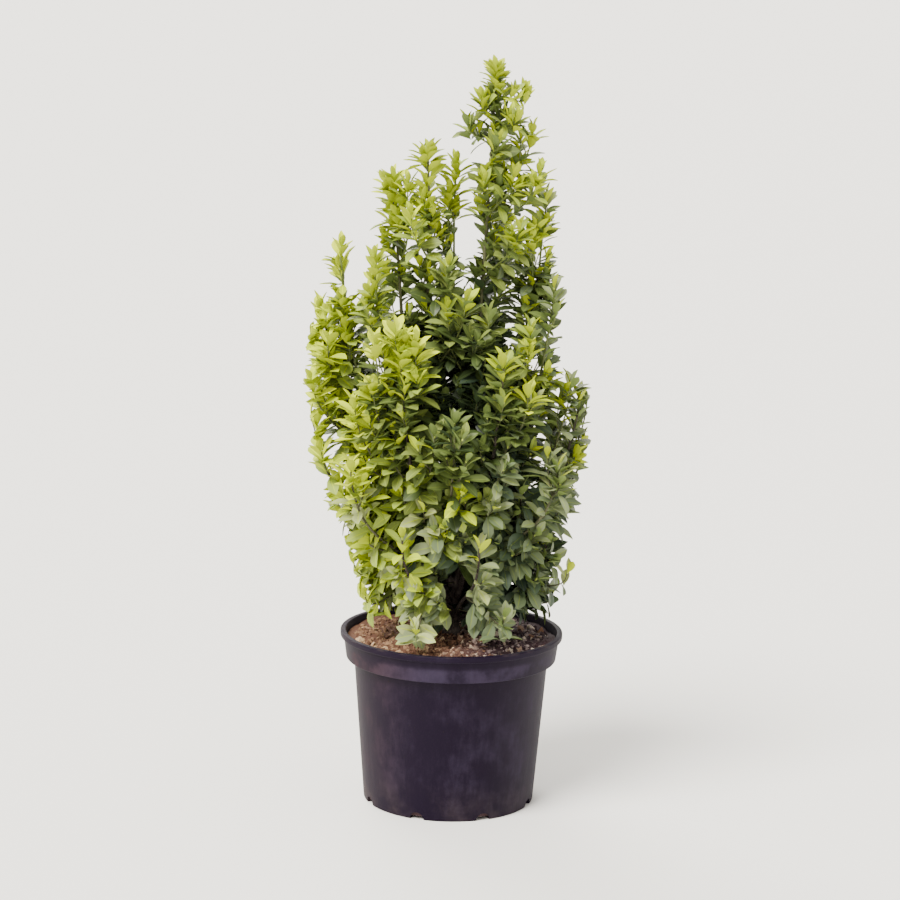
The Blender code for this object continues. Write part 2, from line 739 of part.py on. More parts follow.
def main():
    clear_scene()
    plastic = material("pot_plastic", (0.032, 0.024, 0.046), 0.55)
    earth = material("potting_soil", (0.055, 0.030, 0.018), 0.95)
    bark = material("bark", (0.115, 0.090, 0.060), 0.85)
    young_bark = material("green_bark", (0.105, 0.130, 0.040), 0.65)
    old_leaf = material("old_leaves", (0.060, 0.130, 0.035), 0.38)
    leaf = material("leaves", (0.130, 0.260, 0.030), 0.36)
    young_leaf = material("young_leaves", (0.400, 0.480, 0.060), 0.36)
    make_pot(plastic)
    make_soil(earth)
    shoots = {"trunk": make_trunk(bark)}
    for name in SHOOTS:
        shoots[name] = plan_shoot(name, shoots)
    for name in SHOOTS:
        if shoots[name]["bare"]:
            make_bough(name, shoots[name], bark if SHOOTS[name][0] == "trunk" else young_bark)
    room = Room(shoots)
    for name in SHOOTS:
        mass = Mass(name, shoots[name], room)
        mass.grow()
        height = SHOOTS[name][3][2]
        mass.build(old_leaf if height < OLD_LEAVES_TO else leaf if height < LEAVES_TO else young_leaf)


if __name__ == "__main__":
    main()
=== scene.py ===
"""A young evergreen euonymus in its plastic nursery pot, with every surface finished.

Metres, +Z up. The origin is the centre of the pot's flat underside, and the front is -Y.
"""

import itertools
import json
import math
import random

import bmesh
import bpy
import numpy as np
from mathutils import Matrix, Quaternion, Vector, noise

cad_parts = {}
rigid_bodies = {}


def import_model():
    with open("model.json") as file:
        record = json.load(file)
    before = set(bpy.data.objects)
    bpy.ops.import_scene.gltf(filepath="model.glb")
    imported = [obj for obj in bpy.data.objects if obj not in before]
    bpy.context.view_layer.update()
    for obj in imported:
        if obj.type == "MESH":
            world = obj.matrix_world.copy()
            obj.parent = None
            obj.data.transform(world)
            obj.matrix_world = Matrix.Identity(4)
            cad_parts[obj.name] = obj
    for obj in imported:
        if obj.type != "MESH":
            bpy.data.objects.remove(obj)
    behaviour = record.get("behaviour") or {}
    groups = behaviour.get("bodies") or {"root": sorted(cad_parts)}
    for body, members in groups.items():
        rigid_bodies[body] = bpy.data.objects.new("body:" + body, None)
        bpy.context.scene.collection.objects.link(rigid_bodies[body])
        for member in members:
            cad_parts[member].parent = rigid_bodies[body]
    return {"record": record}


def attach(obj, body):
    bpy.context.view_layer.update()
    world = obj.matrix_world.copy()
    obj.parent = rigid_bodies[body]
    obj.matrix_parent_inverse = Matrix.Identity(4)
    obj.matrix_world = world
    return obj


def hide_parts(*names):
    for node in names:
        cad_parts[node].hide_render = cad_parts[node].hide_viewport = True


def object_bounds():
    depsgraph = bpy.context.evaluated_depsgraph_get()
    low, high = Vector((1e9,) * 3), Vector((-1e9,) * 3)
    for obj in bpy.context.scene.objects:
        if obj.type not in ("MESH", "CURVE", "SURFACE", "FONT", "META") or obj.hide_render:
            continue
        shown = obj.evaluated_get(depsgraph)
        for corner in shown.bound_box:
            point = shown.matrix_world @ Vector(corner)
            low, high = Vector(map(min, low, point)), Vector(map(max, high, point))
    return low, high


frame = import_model()
cad_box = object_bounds()


# Ground, light and camera
# The plant stands on pale level ground, which rises far off so that it fills the view, under a hazy sky.
# Soft sunlight falls from the upper left, and a weaker light from behind. The camera has a long lens,
# stands a little over two metres off, looks down by ten degrees and is turned by one.

# The ground's rings: how far out, and how high.
GROUND_RINGS = ((12.0, 0.0), (30.0, 0.8), (60.0, 6.0), (90.0, 16.0))
GROUND_SIDES = 48
GROUND_COLOUR = (0.86, 0.835, 0.79)
SKY_COLOUR = (1.0, 0.985, 0.95)
SKY_STRENGTH = 1.08
# Each light: where it comes from, how wide it is in degrees, its strength, and its colour.
LIGHTS = {
    "sunlight": ((-0.48, -0.58, 1.0), 30.0, 7.6, (1.0, 0.98, 0.93)),
    "back_glow": ((-0.35, 0.9, 0.75), 40.0, 2.8, (1.0, 0.985, 0.94)),
}
CAMERA_PLACE = Vector((-0.0053, -2.4, 0.79))
CAMERA_DOWN = math.radians(10.17)
CAMERA_ROLL = math.radians(1.2)
CAMERA_LENS = 97.44
SENSOR_WIDTH = 36.0
VIEW_DEPTH = 200.0


class Value:
    """A number that passes between nodes. Python's operators on it add Math nodes."""

    def __init__(self, graph, socket):
        self.graph = graph
        self.socket = socket

    def __add__(self, other):
        return self.graph.maths("ADD", self, other)

    __radd__ = __add__

    def __sub__(self, other):
        return self.graph.maths("SUBTRACT", self, other)

    def __rsub__(self, other):
        return self.graph.maths("SUBTRACT", other, self)

    def __mul__(self, other):
        return self.graph.maths("MULTIPLY", self, other)

    __rmul__ = __mul__

    def __truediv__(self, other):
        return self.graph.maths("DIVIDE", self, other)

    def __rtruediv__(self, other):
        return self.graph.maths("DIVIDE", other, self)

    def __pow__(self, other):
        return self.graph.maths("POWER", self, other)


class Graph:
    """A tree of nodes. Every node comes from node(), and numbers are worked out with Values."""

    def __init__(self, tree):
        self.tree = tree

    def node(self, kind, settings=None, inputs=None, out=0):
        """Adds a node and returns one of its outputs, or a list of them where out is a tuple.

        Its settings come before its values and links, because they decide what sockets it has.
        """
        made = self.tree.nodes.new(kind)
        for name, value in (settings or {}).items():
            setattr(made, name, value)
        for name, value in (inputs or {}).items():
            if isinstance(value, Value):
                self.tree.links.new(value.socket, made.inputs[name])
            else:
                made.inputs[name].default_value = value
        if isinstance(out, tuple):
            return [Value(self, made.outputs[each]) for each in out]
        return Value(self, made.outputs[out])

    def maths(self, operation, *numbers):
        return self.node("ShaderNodeMath", {"operation": operation}, dict(enumerate(numbers)))

    def noise(self, place, scale, detail=3.0, rough=0.5):
        """Noise from 0 to 1 at a place."""
        sizes = {"Vector": place, "Scale": scale, "Detail": detail, "Roughness": rough}
        return self.node("ShaderNodeTexNoise", {}, sizes)

    def step(self, value, low, high):
        """0 below low, 1 above high, and a smooth rise between them."""
        sizes = {"Value": value, "From Min": low, "From Max": high}
        return self.node("ShaderNodeMapRange", {"interpolation_type": "SMOOTHSTEP"}, sizes)

    def vector(self, x, y, z):
        return self.node("ShaderNodeCombineXYZ", {}, {0: x, 1: y, 2: z})


class Finish(Graph):
    """A material. What doesn't vary is set on the shader's own sockets."""

    def __init__(self, name, fixed):
        self.material = bpy.data.materials.new(name)
        self.material.use_nodes = True
        super().__init__(self.material.node_tree)
        self.shader = self.tree.nodes["Principled BSDF"]
        for socket, value in fixed.items():
            self.shader.inputs[socket].default_value = value
        self.place = self.node("ShaderNodeTexCoord", out="Object")
        self.x, self.y, self.z = self.node("ShaderNodeSeparateXYZ", {}, {0: self.place}, (0, 1, 2))

    def mix(self, share, first, second):
        """A colour between two others, which are outputs or plain colours."""
        first, second = (side if isinstance(side, Value) else (*side, 1.0) for side in (first, second))
        return self.node("ShaderNodeMix", {"data_type": "RGBA"}, {0: share, 6: first, 7: second}, 2)

    def drive(self, socket, value):
        self.tree.links.new(value.socket, self.shader.inputs[socket])

    def bump(self, height, depth, strength=1.0):
        sizes = {"Height": height, "Distance": depth, "Strength": strength}
        self.drive("Normal", self.node("ShaderNodeBump", {}, sizes))


def mesh_of(name, points, faces):
    mesh = bpy.data.meshes.new(name)
    mesh.from_pydata([tuple(point) for point in points], [], faces)
    mesh.update()
    return mesh


def add_piece(name, mesh, *materials):
    """A piece of the scene, at the origin, with its place in its mesh."""
    made = bpy.data.objects.new(name, mesh)
    bpy.context.scene.collection.objects.link(made)
    for material in materials:
        mesh.materials.append(material)
    return made


def circle(radius, height, sides):
    """Points round the Z axis."""
    turns = [2 * math.pi * i / sides for i in range(sides)]
    return [(radius * math.cos(turn), radius * math.sin(turn), height) for turn in turns]


def ring_faces(rings, sides):
    """Faces from a middle point, the first of all, to a ring of points, and from each ring to the next."""
    faces = [(0, 1 + i, 1 + (i + 1) % sides) for i in range(sides)]
    for low in range(1, 1 + (rings - 1) * sides, sides):
        for i in range(sides):
            j = (i + 1) % sides
            faces.append((low + i, low + sides + i, low + sides + j, low + j))
    return faces


pale = Finish("pale_ground", {"Roughness": 0.85, "Base Color": (*GROUND_COLOUR, 1.0)})
points = [(0.0, 0.0, 0.0)]
for radius, height in GROUND_RINGS:
    points += circle(radius, height, GROUND_SIDES)
faces = ring_faces(len(GROUND_RINGS), GROUND_SIDES)
ground = add_piece("ground", mesh_of("ground", points, faces), pale.material)
ground.data.shade_smooth()

sky = bpy.data.worlds.new("hazy_sky")
sky.use_nodes = True
sky_light = sky.node_tree.nodes["Background"]
sky_light.inputs["Color"].default_value = (*SKY_COLOUR, 1.0)
sky_light.inputs["Strength"].default_value = SKY_STRENGTH
bpy.context.scene.world = sky

for name, (way, width, strength, colour) in LIGHTS.items():
    light = bpy.data.lights.new(name, "SUN")
    light.angle = math.radians(width)
    light.energy = strength
    light.color = colour
    lamp = bpy.data.objects.new(name, light)
    lamp.rotation_euler = (-Vector(way)).to_track_quat("-Z", "Y").to_euler()
    bpy.context.scene.collection.objects.link(lamp)

lens = bpy.data.cameras.new("camera")
lens.lens = CAMERA_LENS
lens.sensor_width = SENSOR_WIDTH
lens.clip_end = VIEW_DEPTH
camera = bpy.data.objects.new("camera", lens)
look = Matrix.Rotation(math.radians(90) - CAMERA_DOWN, 4, "X") @ Matrix.Rotation(CAMERA_ROLL, 4, "Z")
camera.matrix_world = Matrix.Translation(CAMERA_PLACE) @ look
bpy.context.scene.collection.objects.link(camera)
bpy.context.scene.camera = camera


# Pot
# A 5-litre nursery pot, moulded in one piece from soft recycled plastic, plum-black and dull with dust.
# It has a thin lip, a stepped band that the next pot of a stack sits on, and drain arches round its foot.

POT_HEIGHT = 0.175
LIP_RADIUS = 0.1125
LIP_DEPTH = 0.006
BAND_TOP_RADIUS = 0.1092
BAND_FOOT_RADIUS = 0.1062
BAND_HEIGHT = 0.028
BAND_FOOT = POT_HEIGHT - BAND_HEIGHT
WALL_TOP_RADIUS = 0.0983
WALL_FOOT_RADIUS = 0.0865
WALL = 0.002
FLOOR = 0.003
POT_SIDES = 144
CORNER_STEPS = 4
DRAIN_COUNT = 8
DRAIN_RADIUS = 0.0075
DRAIN_DEPTH = 0.012
DRAIN_SIDES = 28
DRAIN_TURN = math.radians(24)
POT_SHARP = math.radians(35)
PLUM_BLACK = (0.005, 0.0017, 0.0088)
# Dust colours. The pale one also serves for the painted sheen and highlight, and the warm one is dust in
# painted sunlight on the sunny left.
PALE_DUST_AND_SHEEN = (0.045, 0.034, 0.062)
SUNLIT_DUST = (0.066, 0.037, 0.043)
TAN_DUST = (0.08, 0.06, 0.05)


def wall_radius(height):
    """Outer radius of the plain wall below the band."""
    return WALL_FOOT_RADIUS + (WALL_TOP_RADIUS - WALL_FOOT_RADIUS) * height / BAND_FOOT


def rounded(corners):
    """A profile of (radius, height, rounding), with each corner turned on a small curve."""
    spots = [Vector((radius, height)) for radius, height, size in corners]
    line = [spots[0]]
    for index in range(1, len(spots) - 1):
        before, spot, after = spots[index - 1 : index + 2]
        size = corners[index][2]
        first = spot + (before - spot).normalized() * size
        last = spot + (after - spot).normalized() * size
        for step in range(CORNER_STEPS + 1):
            share = step / CORNER_STEPS
            line.append(first.lerp(spot, share).lerp(spot.lerp(last, share), share))
    return line + [spots[-1]]


def taken_from(shape, name):
    """A mesh of a shape's faces. The shape is then freed."""
    mesh = bpy.data.meshes.new(name)
    shape.to_mesh(mesh)
    shape.free()
    return mesh


def turned(profile, sides):
    """A closed solid turned about Z, from a profile that starts and ends on the axis."""
    shape = bmesh.new()
    row = [shape.verts.new((spot.x, 0.0, spot.y)) for spot in profile]
    edges = [shape.edges.new(pair) for pair in zip(row, row[1:])]
    bmesh.ops.spin(
        shape, geom=row + edges, axis=(0, 0, 1), cent=(0, 0, 0), angle=2 * math.pi, steps=sides
    )
    bmesh.ops.remove_doubles(shape, verts=shape.verts, dist=1e-6)
    bmesh.ops.recalc_face_normals(shape, faces=shape.faces)
    return taken_from(shape, "turned")


def plain_mesh(piece):
    """The piece's mesh as its modifiers leave it. The modifiers are then removed."""
    graph = bpy.context.evaluated_depsgraph_get()
    mesh = bpy.data.meshes.new_from_object(piece.evaluated_get(graph))
    piece.modifiers.clear()
    old = piece.data
    piece.data = mesh
    bpy.data.meshes.remove(old)


pot_profile = rounded(
    [
        (0.0, 0.0, 0.0),
        (WALL_FOOT_RADIUS, 0.0, 0.0018),
        (WALL_TOP_RADIUS, BAND_FOOT, 0.0006),
        (BAND_FOOT_RADIUS, BAND_FOOT, 0.0012),
        (BAND_TOP_RADIUS, POT_HEIGHT - LIP_DEPTH, 0.0014),
        (LIP_RADIUS, POT_HEIGHT - LIP_DEPTH, 0.0014),
        (LIP_RADIUS, POT_HEIGHT, 0.0011),
        (BAND_TOP_RADIUS - WALL, POT_HEIGHT, 0.0009),
        (BAND_FOOT_RADIUS - WALL, BAND_FOOT + WALL, 0.0008),
        (WALL_TOP_RADIUS - WALL, BAND_FOOT + WALL, 0.0008),
        (wall_radius(FLOOR) - WALL, FLOOR, 0.0015),
        (0.0, FLOOR, 0.0),
    ]
)

plastic = Finish("pot_plastic", {"Specular IOR Level": 0.09})
around = plastic.maths("ARCTAN2", plastic.y, plastic.x)
streak_place = plastic.vector(around * 6.0, plastic.z * 17.0, plastic.x * 3.0)
streaks = plastic.noise(streak_place, 3.2, 5.0, 0.62)
blotches = plastic.noise(plastic.place, 26.0, 4.0, 0.6)
broad = plastic.noise(plastic.place, 9.0, 2.0)
# Painted light: the sunny left of the pot is lighter and warmer.
sunny_side = plastic.step(plastic.x * -1.0, 0.02, 0.1)
# A pale painted sheen on the shaded right side of the pot.
shaded_side_sheen = plastic.step(plastic.x, 0.03, 0.1)
on_band = plastic.step(plastic.z, BAND_FOOT - 0.001, BAND_FOOT + 0.001)
band_top = plastic.step(plastic.z, POT_HEIGHT - 0.016, POT_HEIGHT - 0.011)
shadow_under_band = plastic.step(plastic.z, BAND_FOOT - 0.014, BAND_FOOT - 0.002) * (1 - on_band)
# The dust mask, with painted light and shade added to it below.
dust_and_painted_light = plastic.step(streaks * 0.3 + blotches * 0.7, 0.44, 0.78) * (0.15 + broad * 0.4)
dust_and_painted_light = dust_and_painted_light + sunny_side * 0.07 + shaded_side_sheen * 0.06
# Pale blotches on the band's lower slope: partly dust, partly a painted highlight where light falls on the
# slope.
dust_and_painted_light = dust_and_painted_light + on_band * plastic.step(blotches, 0.4, 0.62) * (1 - band_top) * 0.34
# Painted shadow just under the band, where the dust is dimmed; the upper band and the lip get half as much
# dust and painted light.
dust_and_painted_light = dust_and_painted_light * (1 - 0.6 * shadow_under_band) * (1 - 0.5 * band_top)
foot_dust = plastic.step(0.045 - plastic.z, 0.0, 0.05) * plastic.step(blotches, 0.4, 0.65) * 0.18
lip_dust = plastic.step(plastic.z, POT_HEIGHT - 0.0022, POT_HEIGHT - 0.0004)
lip_dust = lip_dust * plastic.step(plastic.noise(plastic.place, 60.0, 4.0), 0.44, 0.7) * 0.22
# On the sunny left the pale marks take a warmer colour, as painted sunlight.
plum = plastic.mix(dust_and_painted_light, PLUM_BLACK, plastic.mix(sunny_side, PALE_DUST_AND_SHEEN, SUNLIT_DUST))
# The pot's colour: plum with dust and painted light, then tan dust at the foot and lip.
pot_colour = plastic.mix(foot_dust + lip_dust, plum, TAN_DUST)
plastic.drive("Base Color", pot_colour)
plastic.drive("Roughness", 0.54 + dust_and_painted_light * 0.3 + lip_dust * 0.2)
grain = plastic.noise(plastic.place, 900.0, 2.0) * 0.35 + streaks * 0.65
plastic.bump(grain, 0.0004, 0.55)

pot = add_piece("pot_shell", turned(pot_profile, POT_SIDES), plastic.material)
drains = bpy.data.collections.new("drains")
for index in range(DRAIN_COUNT):
    place = Matrix.Rotation(DRAIN_TURN + 2 * math.pi * index / DRAIN_COUNT, 4, "Z")
    place = place @ Matrix.Translation((WALL_FOOT_RADIUS, 0, 0))
    shape = bmesh.new()
    bmesh.ops.create_cone(
        shape,
        cap_ends=True,
        segments=DRAIN_SIDES,
        radius1=DRAIN_RADIUS,
        radius2=DRAIN_RADIUS,
        depth=2 * DRAIN_DEPTH,
        matrix=place @ Matrix.Rotation(math.radians(90), 4, "Y"),
    )
    drains.objects.link(bpy.data.objects.new("drain", taken_from(shape, "drain")))
cut = pot.modifiers.new("drains", "BOOLEAN")
cut.operation = "DIFFERENCE"
cut.operand_type = "COLLECTION"
cut.collection = drains
cut.solver = "EXACT"
plain_mesh(pot)
for bar in list(drains.objects):
    bpy.data.objects.remove(bar, do_unlink=True)
bpy.data.collections.remove(drains)
pot.data.shade_smooth()
pot.data.set_sharp_from_angle(angle=POT_SHARP)
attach(pot, "root")
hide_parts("pot")


# Soil
# A coarse mix of composted bark and peat, filled nearly to the lip. It is dry and reddish on the sunny
# left and damp and dark on the right, with loose crumbs and pale chips of bark lying on it.

SOIL_TOP = POT_HEIGHT - 0.004
SOIL_EDGE_DROP = 0.008
SOIL_CROWN_DROP = 0.004
SOIL_LUMP = 0.0016
SOIL_GAP = 0.0003
TRUNK_FOOT_RADIUS = 0.0105
SOIL_SIDES = 120
SOIL_RINGS = 40
SOIL_SHELF = BAND_FOOT + WALL + 2 * SOIL_GAP
SOIL_FOOT = FLOOR + SOIL_GAP
SCATTER_RADIUS = 0.0985
SCATTER_RINGS = 12
# The higher this power, the more of the crumbs are small.
SMALL_SHARE = 2.2
# What is added to a seed for the lumps' turns, and for how light they are.
TURN_SEED = 7
TONE_SEED = 19
LUMP_DENTS = 2.3
SOIL_SHARP = math.radians(50)
RED_TAN = (0.092, 0.04, 0.023)
DRY_TAN = (0.235, 0.135, 0.075)
DAMP_PLUM = (0.042, 0.0215, 0.0245)
DAMP_PALE = (0.37, 0.285, 0.262)
CHIP_CREAM = (0.62, 0.52, 0.42)
CHIP_TAN = (0.4, 0.265, 0.155)
CHIP_DARK = (0.16, 0.08, 0.045)


def soil_height(x, y):
    """The uneven top of the soil: a low crown, lumps, and a level spot where the trunk stands."""
    radius = math.hypot(x, y)
    share = min(1.0, radius / (BAND_TOP_RADIUS - WALL))
    drop = (SOIL_EDGE_DROP - SOIL_CROWN_DROP) * share**2
    lump = math.sin(71 * x + 1.3) * math.cos(83 * y + 0.4) + 0.6 * math.sin(140 * x - 97 * y)
    lump += 1.1 * noise.noise(Vector((x, y, 0.3)) * 160) + 0.6 * noise.noise(Vector((x, y, 0.8)) * 420)
    away = min(1.0, max(0.0, (radius - 1.6 * TRUNK_FOOT_RADIUS) / (2 * TRUNK_FOOT_RADIUS)))
    return SOIL_TOP - drop * away + SOIL_LUMP * lump * away


def soil_edge(height):
    """The pot's inner radius at a height, less the gap that keeps soil and pot apart."""
    if height > BAND_FOOT:
        share = (height - BAND_FOOT) / BAND_HEIGHT
        return BAND_FOOT_RADIUS + (BAND_TOP_RADIUS - BAND_FOOT_RADIUS) * share - WALL - 3 * SOIL_GAP
    return wall_radius(height) - WALL - 2 * SOIL_GAP


def soil_rings(radii, extra):
    """Rings of soil surface at some radii, then plain rings of (radius, height)."""
    points = [(0.0, 0.0, soil_height(0.0, 0.0))]
    for radius in radii:
        points += [(x, y, soil_height(x, y)) for x, y, _ in circle(radius, 0.0, SOIL_SIDES)]
    for radius, height in extra:
        points += circle(radius, height, SOIL_SIDES)
    return points, ring_faces(len(radii) + len(extra), SOIL_SIDES)


class Shape(Graph):
    """A Geometry Nodes tree with named inputs, which makes one plain mesh from another."""

    def __init__(self, name, kinds):
        super().__init__(bpy.data.node_groups.new(name, "GeometryNodeTree"))
        kinds = {"Geometry": "Geometry", **kinds, "Material": "Material"}
        face = self.tree.interface
        for label, kind in kinds.items():
            face.new_socket(label, in_out="INPUT", socket_type="NodeSocket" + kind)
        face.new_socket("Geometry", in_out="OUTPUT", socket_type="NodeSocketGeometry")
        self.given = dict(zip(kinds, self.node("NodeGroupInput", out=tuple(kinds))))

    def finish(self, geometry, smooth):
        """Ends the tree: instances made real, shading and material set."""
        real = self.node("GeometryNodeRealizeInstances", {}, {"Geometry": geometry})
        shaded = self.node("GeometryNodeSetShadeSmooth", {}, {"Geometry": real, "Shade Smooth": smooth})
        painted = {"Geometry": shaded, "Material": self.given["Material"]}
        painted = self.node("GeometryNodeSetMaterial", {}, painted)
        self.node("NodeGroupOutput", {}, {"Geometry": painted}, ())

    def run(self, name, mesh, sizes):
        """The piece that this tree makes from a mesh."""
        piece = add_piece(name, mesh)
        change = piece.modifiers.new(self.tree.name, "NODES")
        change.node_group = self.tree
        for item in self.tree.interface.items_tree:
            if item.in_out == "INPUT" and item.name in sizes:
                change[item.identifier] = sizes[item.name]
        plain_mesh(piece)
        return piece


earth = Finish("potting_soil", {"Specular IOR Level": 0.25})
tone = earth.node("ShaderNodeAttribute", {"attribute_name": "tone"}, out="Fac")
clods = earth.noise(earth.place, 210.0, 5.0, 0.65)
patches = earth.noise(earth.place, 34.0, 3.0)
dry = earth.step(patches * 0.08 - earth.x, -0.01, 0.062) * earth.step(earth.z, 0.15, 0.16)
dry_colour = earth.mix(earth.step(clods * 0.6 + tone * 0.4, 0.3, 0.68), RED_TAN, DRY_TAN)
damp_colour = earth.mix(earth.step(clods * 0.4 + tone * 0.6, 0.46, 0.88), DAMP_PLUM, DAMP_PALE)
earth.drive("Base Color", earth.mix(dry, damp_colour, dry_colour))
earth.drive("Roughness", 0.95 - 0.25 * clods * (1 - dry))
earth.bump(clods, 0.0012, 0.9)

edge = soil_edge(POT_HEIGHT - SOIL_EDGE_DROP)
radii = [edge * (step / SOIL_RINGS) ** 0.8 for step in range(1, SOIL_RINGS + 1)]
lower = ((SOIL_SHELF, SOIL_SHELF), (BAND_FOOT, SOIL_SHELF), (SOIL_FOOT, SOIL_FOOT))
points, faces = soil_rings(radii, [(soil_edge(inside), height) for inside, height in lower])
last = len(points) - SOIL_SIDES
faces.append(tuple(last + i for i in reversed(range(SOIL_SIDES))))
soil = add_piece("soil_bed", mesh_of("soil_bed", points, faces), earth.material)
soil.data.shade_smooth()
soil.data.set_sharp_from_angle(angle=SOIL_SHARP)
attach(soil, "root")
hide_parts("soil")

scatter_inputs = {"Lump": "Object", **dict.fromkeys(("Density", "Smallest", "Largest", "Tilt"), "Float")}
strewn = Shape("strewn", {**scatter_inputs, "Seed": "Int"})
given = strewn.given
seed, tilt = given["Seed"], given["Tilt"]
spots = strewn.node(
    "GeometryNodeDistributePointsOnFaces",
    {"distribute_method": "RANDOM"},
    {"Mesh": given["Geometry"], "Density": given["Density"], "Seed": seed},
)
chance = strewn.node("FunctionNodeRandomValue", {"data_type": "FLOAT"}, {"Seed": seed}, 1)
size = given["Smallest"] + chance**SMALL_SHARE * (given["Largest"] - given["Smallest"])
turns = {
    "Min": strewn.vector(tilt * -1.0, tilt * -1.0, -math.pi),
    "Max": strewn.vector(tilt, tilt, math.pi),
    "Seed": seed + TURN_SEED,
}
laid = {
    "Points": spots,
    "Instance": strewn.node("GeometryNodeObjectInfo", {}, {"Object": given["Lump"]}, "Geometry"),
    "Rotation": strewn.node("FunctionNodeRandomValue", {"data_type": "FLOAT_VECTOR"}, turns),
    "Scale": strewn.vector(size, size, size),
}
toned = {
    "Geometry": strewn.node("GeometryNodeInstanceOnPoints", {}, laid),
    "Name": "tone",
    "Value": strewn.node("FunctionNodeRandomValue", {"data_type": "FLOAT"}, {"Seed": seed + TONE_SEED}, 1),
}
on_lumps = {"data_type": "FLOAT", "domain": "INSTANCE"}
strewn.finish(strewn.node("GeometryNodeStoreNamedAttribute", on_lumps, toned), False)


def rough_lump(size, cuts, roughness, seed):
    """A small closed lump of about the given size, knocked out of shape."""
    noise.seed_set(seed)
    shape = bmesh.new()
    bmesh.ops.create_icosphere(shape, subdivisions=cuts, radius=0.5)
    for vert in shape.verts:
        dent = noise.noise_vector(vert.co * LUMP_DENTS) * roughness
        vert.co = (vert.co + dent) * Vector(size)
    return bpy.data.objects.new("lump", taken_from(shape, "lump"))


def strew(name, shape, seed, density, smallest, largest, tilt, material):
    """Lays copies of a lump of some shape over the soil, as one piece of its own."""
    lump = rough_lump(*shape)
    top = [SCATTER_RADIUS * step / SCATTER_RINGS for step in range(1, SCATTER_RINGS + 1)]
    sizes = {"Density": density, "Smallest": smallest, "Largest": largest, "Tilt": tilt}
    sizes = {"Lump": lump, "Seed": seed, **sizes, "Material": material}
    piece = strewn.run(name, mesh_of(name, *soil_rings(top, [])), sizes)
    bpy.data.objects.remove(lump, do_unlink=True)
    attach(piece, "root")


chip_bark = Finish("bark_chips", {"Specular IOR Level": 0.3, "Roughness": 0.85})
chip_tone = chip_bark.node("ShaderNodeAttribute", {"attribute_name": "tone"}, out="Fac")
fibres = chip_bark.noise(chip_bark.place, 520.0, 4.0, 0.6)
chip_pale = chip_bark.mix(chip_bark.step(chip_bark.x, -0.02, 0.05), CHIP_TAN, CHIP_CREAM)
chip_share = chip_bark.step(chip_tone * 0.8 + fibres * 0.3, 0.2, 0.8)
chip_bark.drive("Base Color", chip_bark.mix(chip_share, CHIP_DARK, chip_pale))
chip_bark.bump(fibres, 0.0006, 0.8)
# Each shape: its proportions, fineness, roughness and seed.
crumb_shape = ((1.0, 0.85, 0.75), 1, 0.35, 3)
chip_shape = ((1.0, 0.52, 0.2), 2, 0.3, 9)
lump_shape = ((1.0, 0.8, 0.62), 2, 0.4, 5)
# Each kind: its shape and seed, how many there are to a square metre, their smallest and largest size, how
# far they tilt, and what they are made of.
strew("soil_crumbs", crumb_shape, 11, 92000.0, 0.0009, 0.007, math.pi, earth.material)
strew("soil_chips", chip_shape, 23, 8600.0, 0.0028, 0.011, 0.45, chip_bark.material)
strew("soil_lumps", lump_shape, 31, 3200.0, 0.0042, 0.0125, math.pi, chip_bark.material)


# Trunk and limbs
# Living wood: a short grey-brown trunk that flares at the soil and forks into nine boughs, with younger
# olive-green limbs on those. Each shoot is one curve from its fork to its growing tip.

TRUNK_RADIUS = 0.0068
TRUNK_HEAD_RADIUS = 0.006
TRUNK_FLARE = 0.014
TRUNK_LENGTH = 0.058
TRUNK_LEAN = Vector((0.1, -0.04, 1.0)).normalized()
TRUNK_HEIGHTS = (0.0, 0.3 * TRUNK_FLARE, TRUNK_FLARE, TRUNK_LENGTH)
FLARE_RADIUS = 0.5 * (TRUNK_FOOT_RADIUS + TRUNK_RADIUS)
TRUNK_RADII = (TRUNK_FOOT_RADIUS, FLARE_RADIUS, TRUNK_RADIUS, TRUNK_HEAD_RADIUS)
TRUNK_STEPS = 24
TRUNK_UNEVEN = 0.05
TRUNK_SUNK = 0.003
# How thick a bough is: a share of its parent's thickness, but no more than its length calls for.
BOUGH_SHARE = 0.6
BOUGH_THINNEST = 0.0018
BOUGH_LEAST = 0.0016
BOUGH_PER_LENGTH = 0.0055
TIP_RADIUS = 0.0009
# How far out and up a shoot starts, how far out it ends, and how strongly its curve keeps those ways.
START_OUT = 0.6
START_UP = 0.8
END_OUT = 1.5
START_SWING = 0.42
MOST_SWING = 0.1
END_SWING = 0.4
CURVE_STEPS = 60
FINE_STEPS = 200
TIP_REACH = 0.026
TIP_GROWTH = 0.009
TIP_STEPS = 3
# Where a shoot leaves its parent: how far it is set in, and how much wider it is there, for how many radii.
FORK_SET_IN = 0.35
COLLAR = 0.42
COLLAR_LENGTH = 2.2
FIRST_SIDE = Vector((0.31, 0.95, 0.05))
UP = Vector((0.0, 0.0, 1.0))
FULL_TURN = 6.28
# The old bark's colours are dark brown, and darker still as painted shade for the trunk in the shadow under
# the crown.
OLD_BARK = (0.058, 0.044, 0.036)
OLD_BARK_DARK = (0.019, 0.014, 0.013)
OLD_BARK_PALE = (0.125, 0.105, 0.088)
OLIVE_BARK = (0.085, 0.09, 0.035)
OLIVE_DARK = (0.04, 0.035, 0.02)
GREEN_BARK = (0.165, 0.215, 0.045)

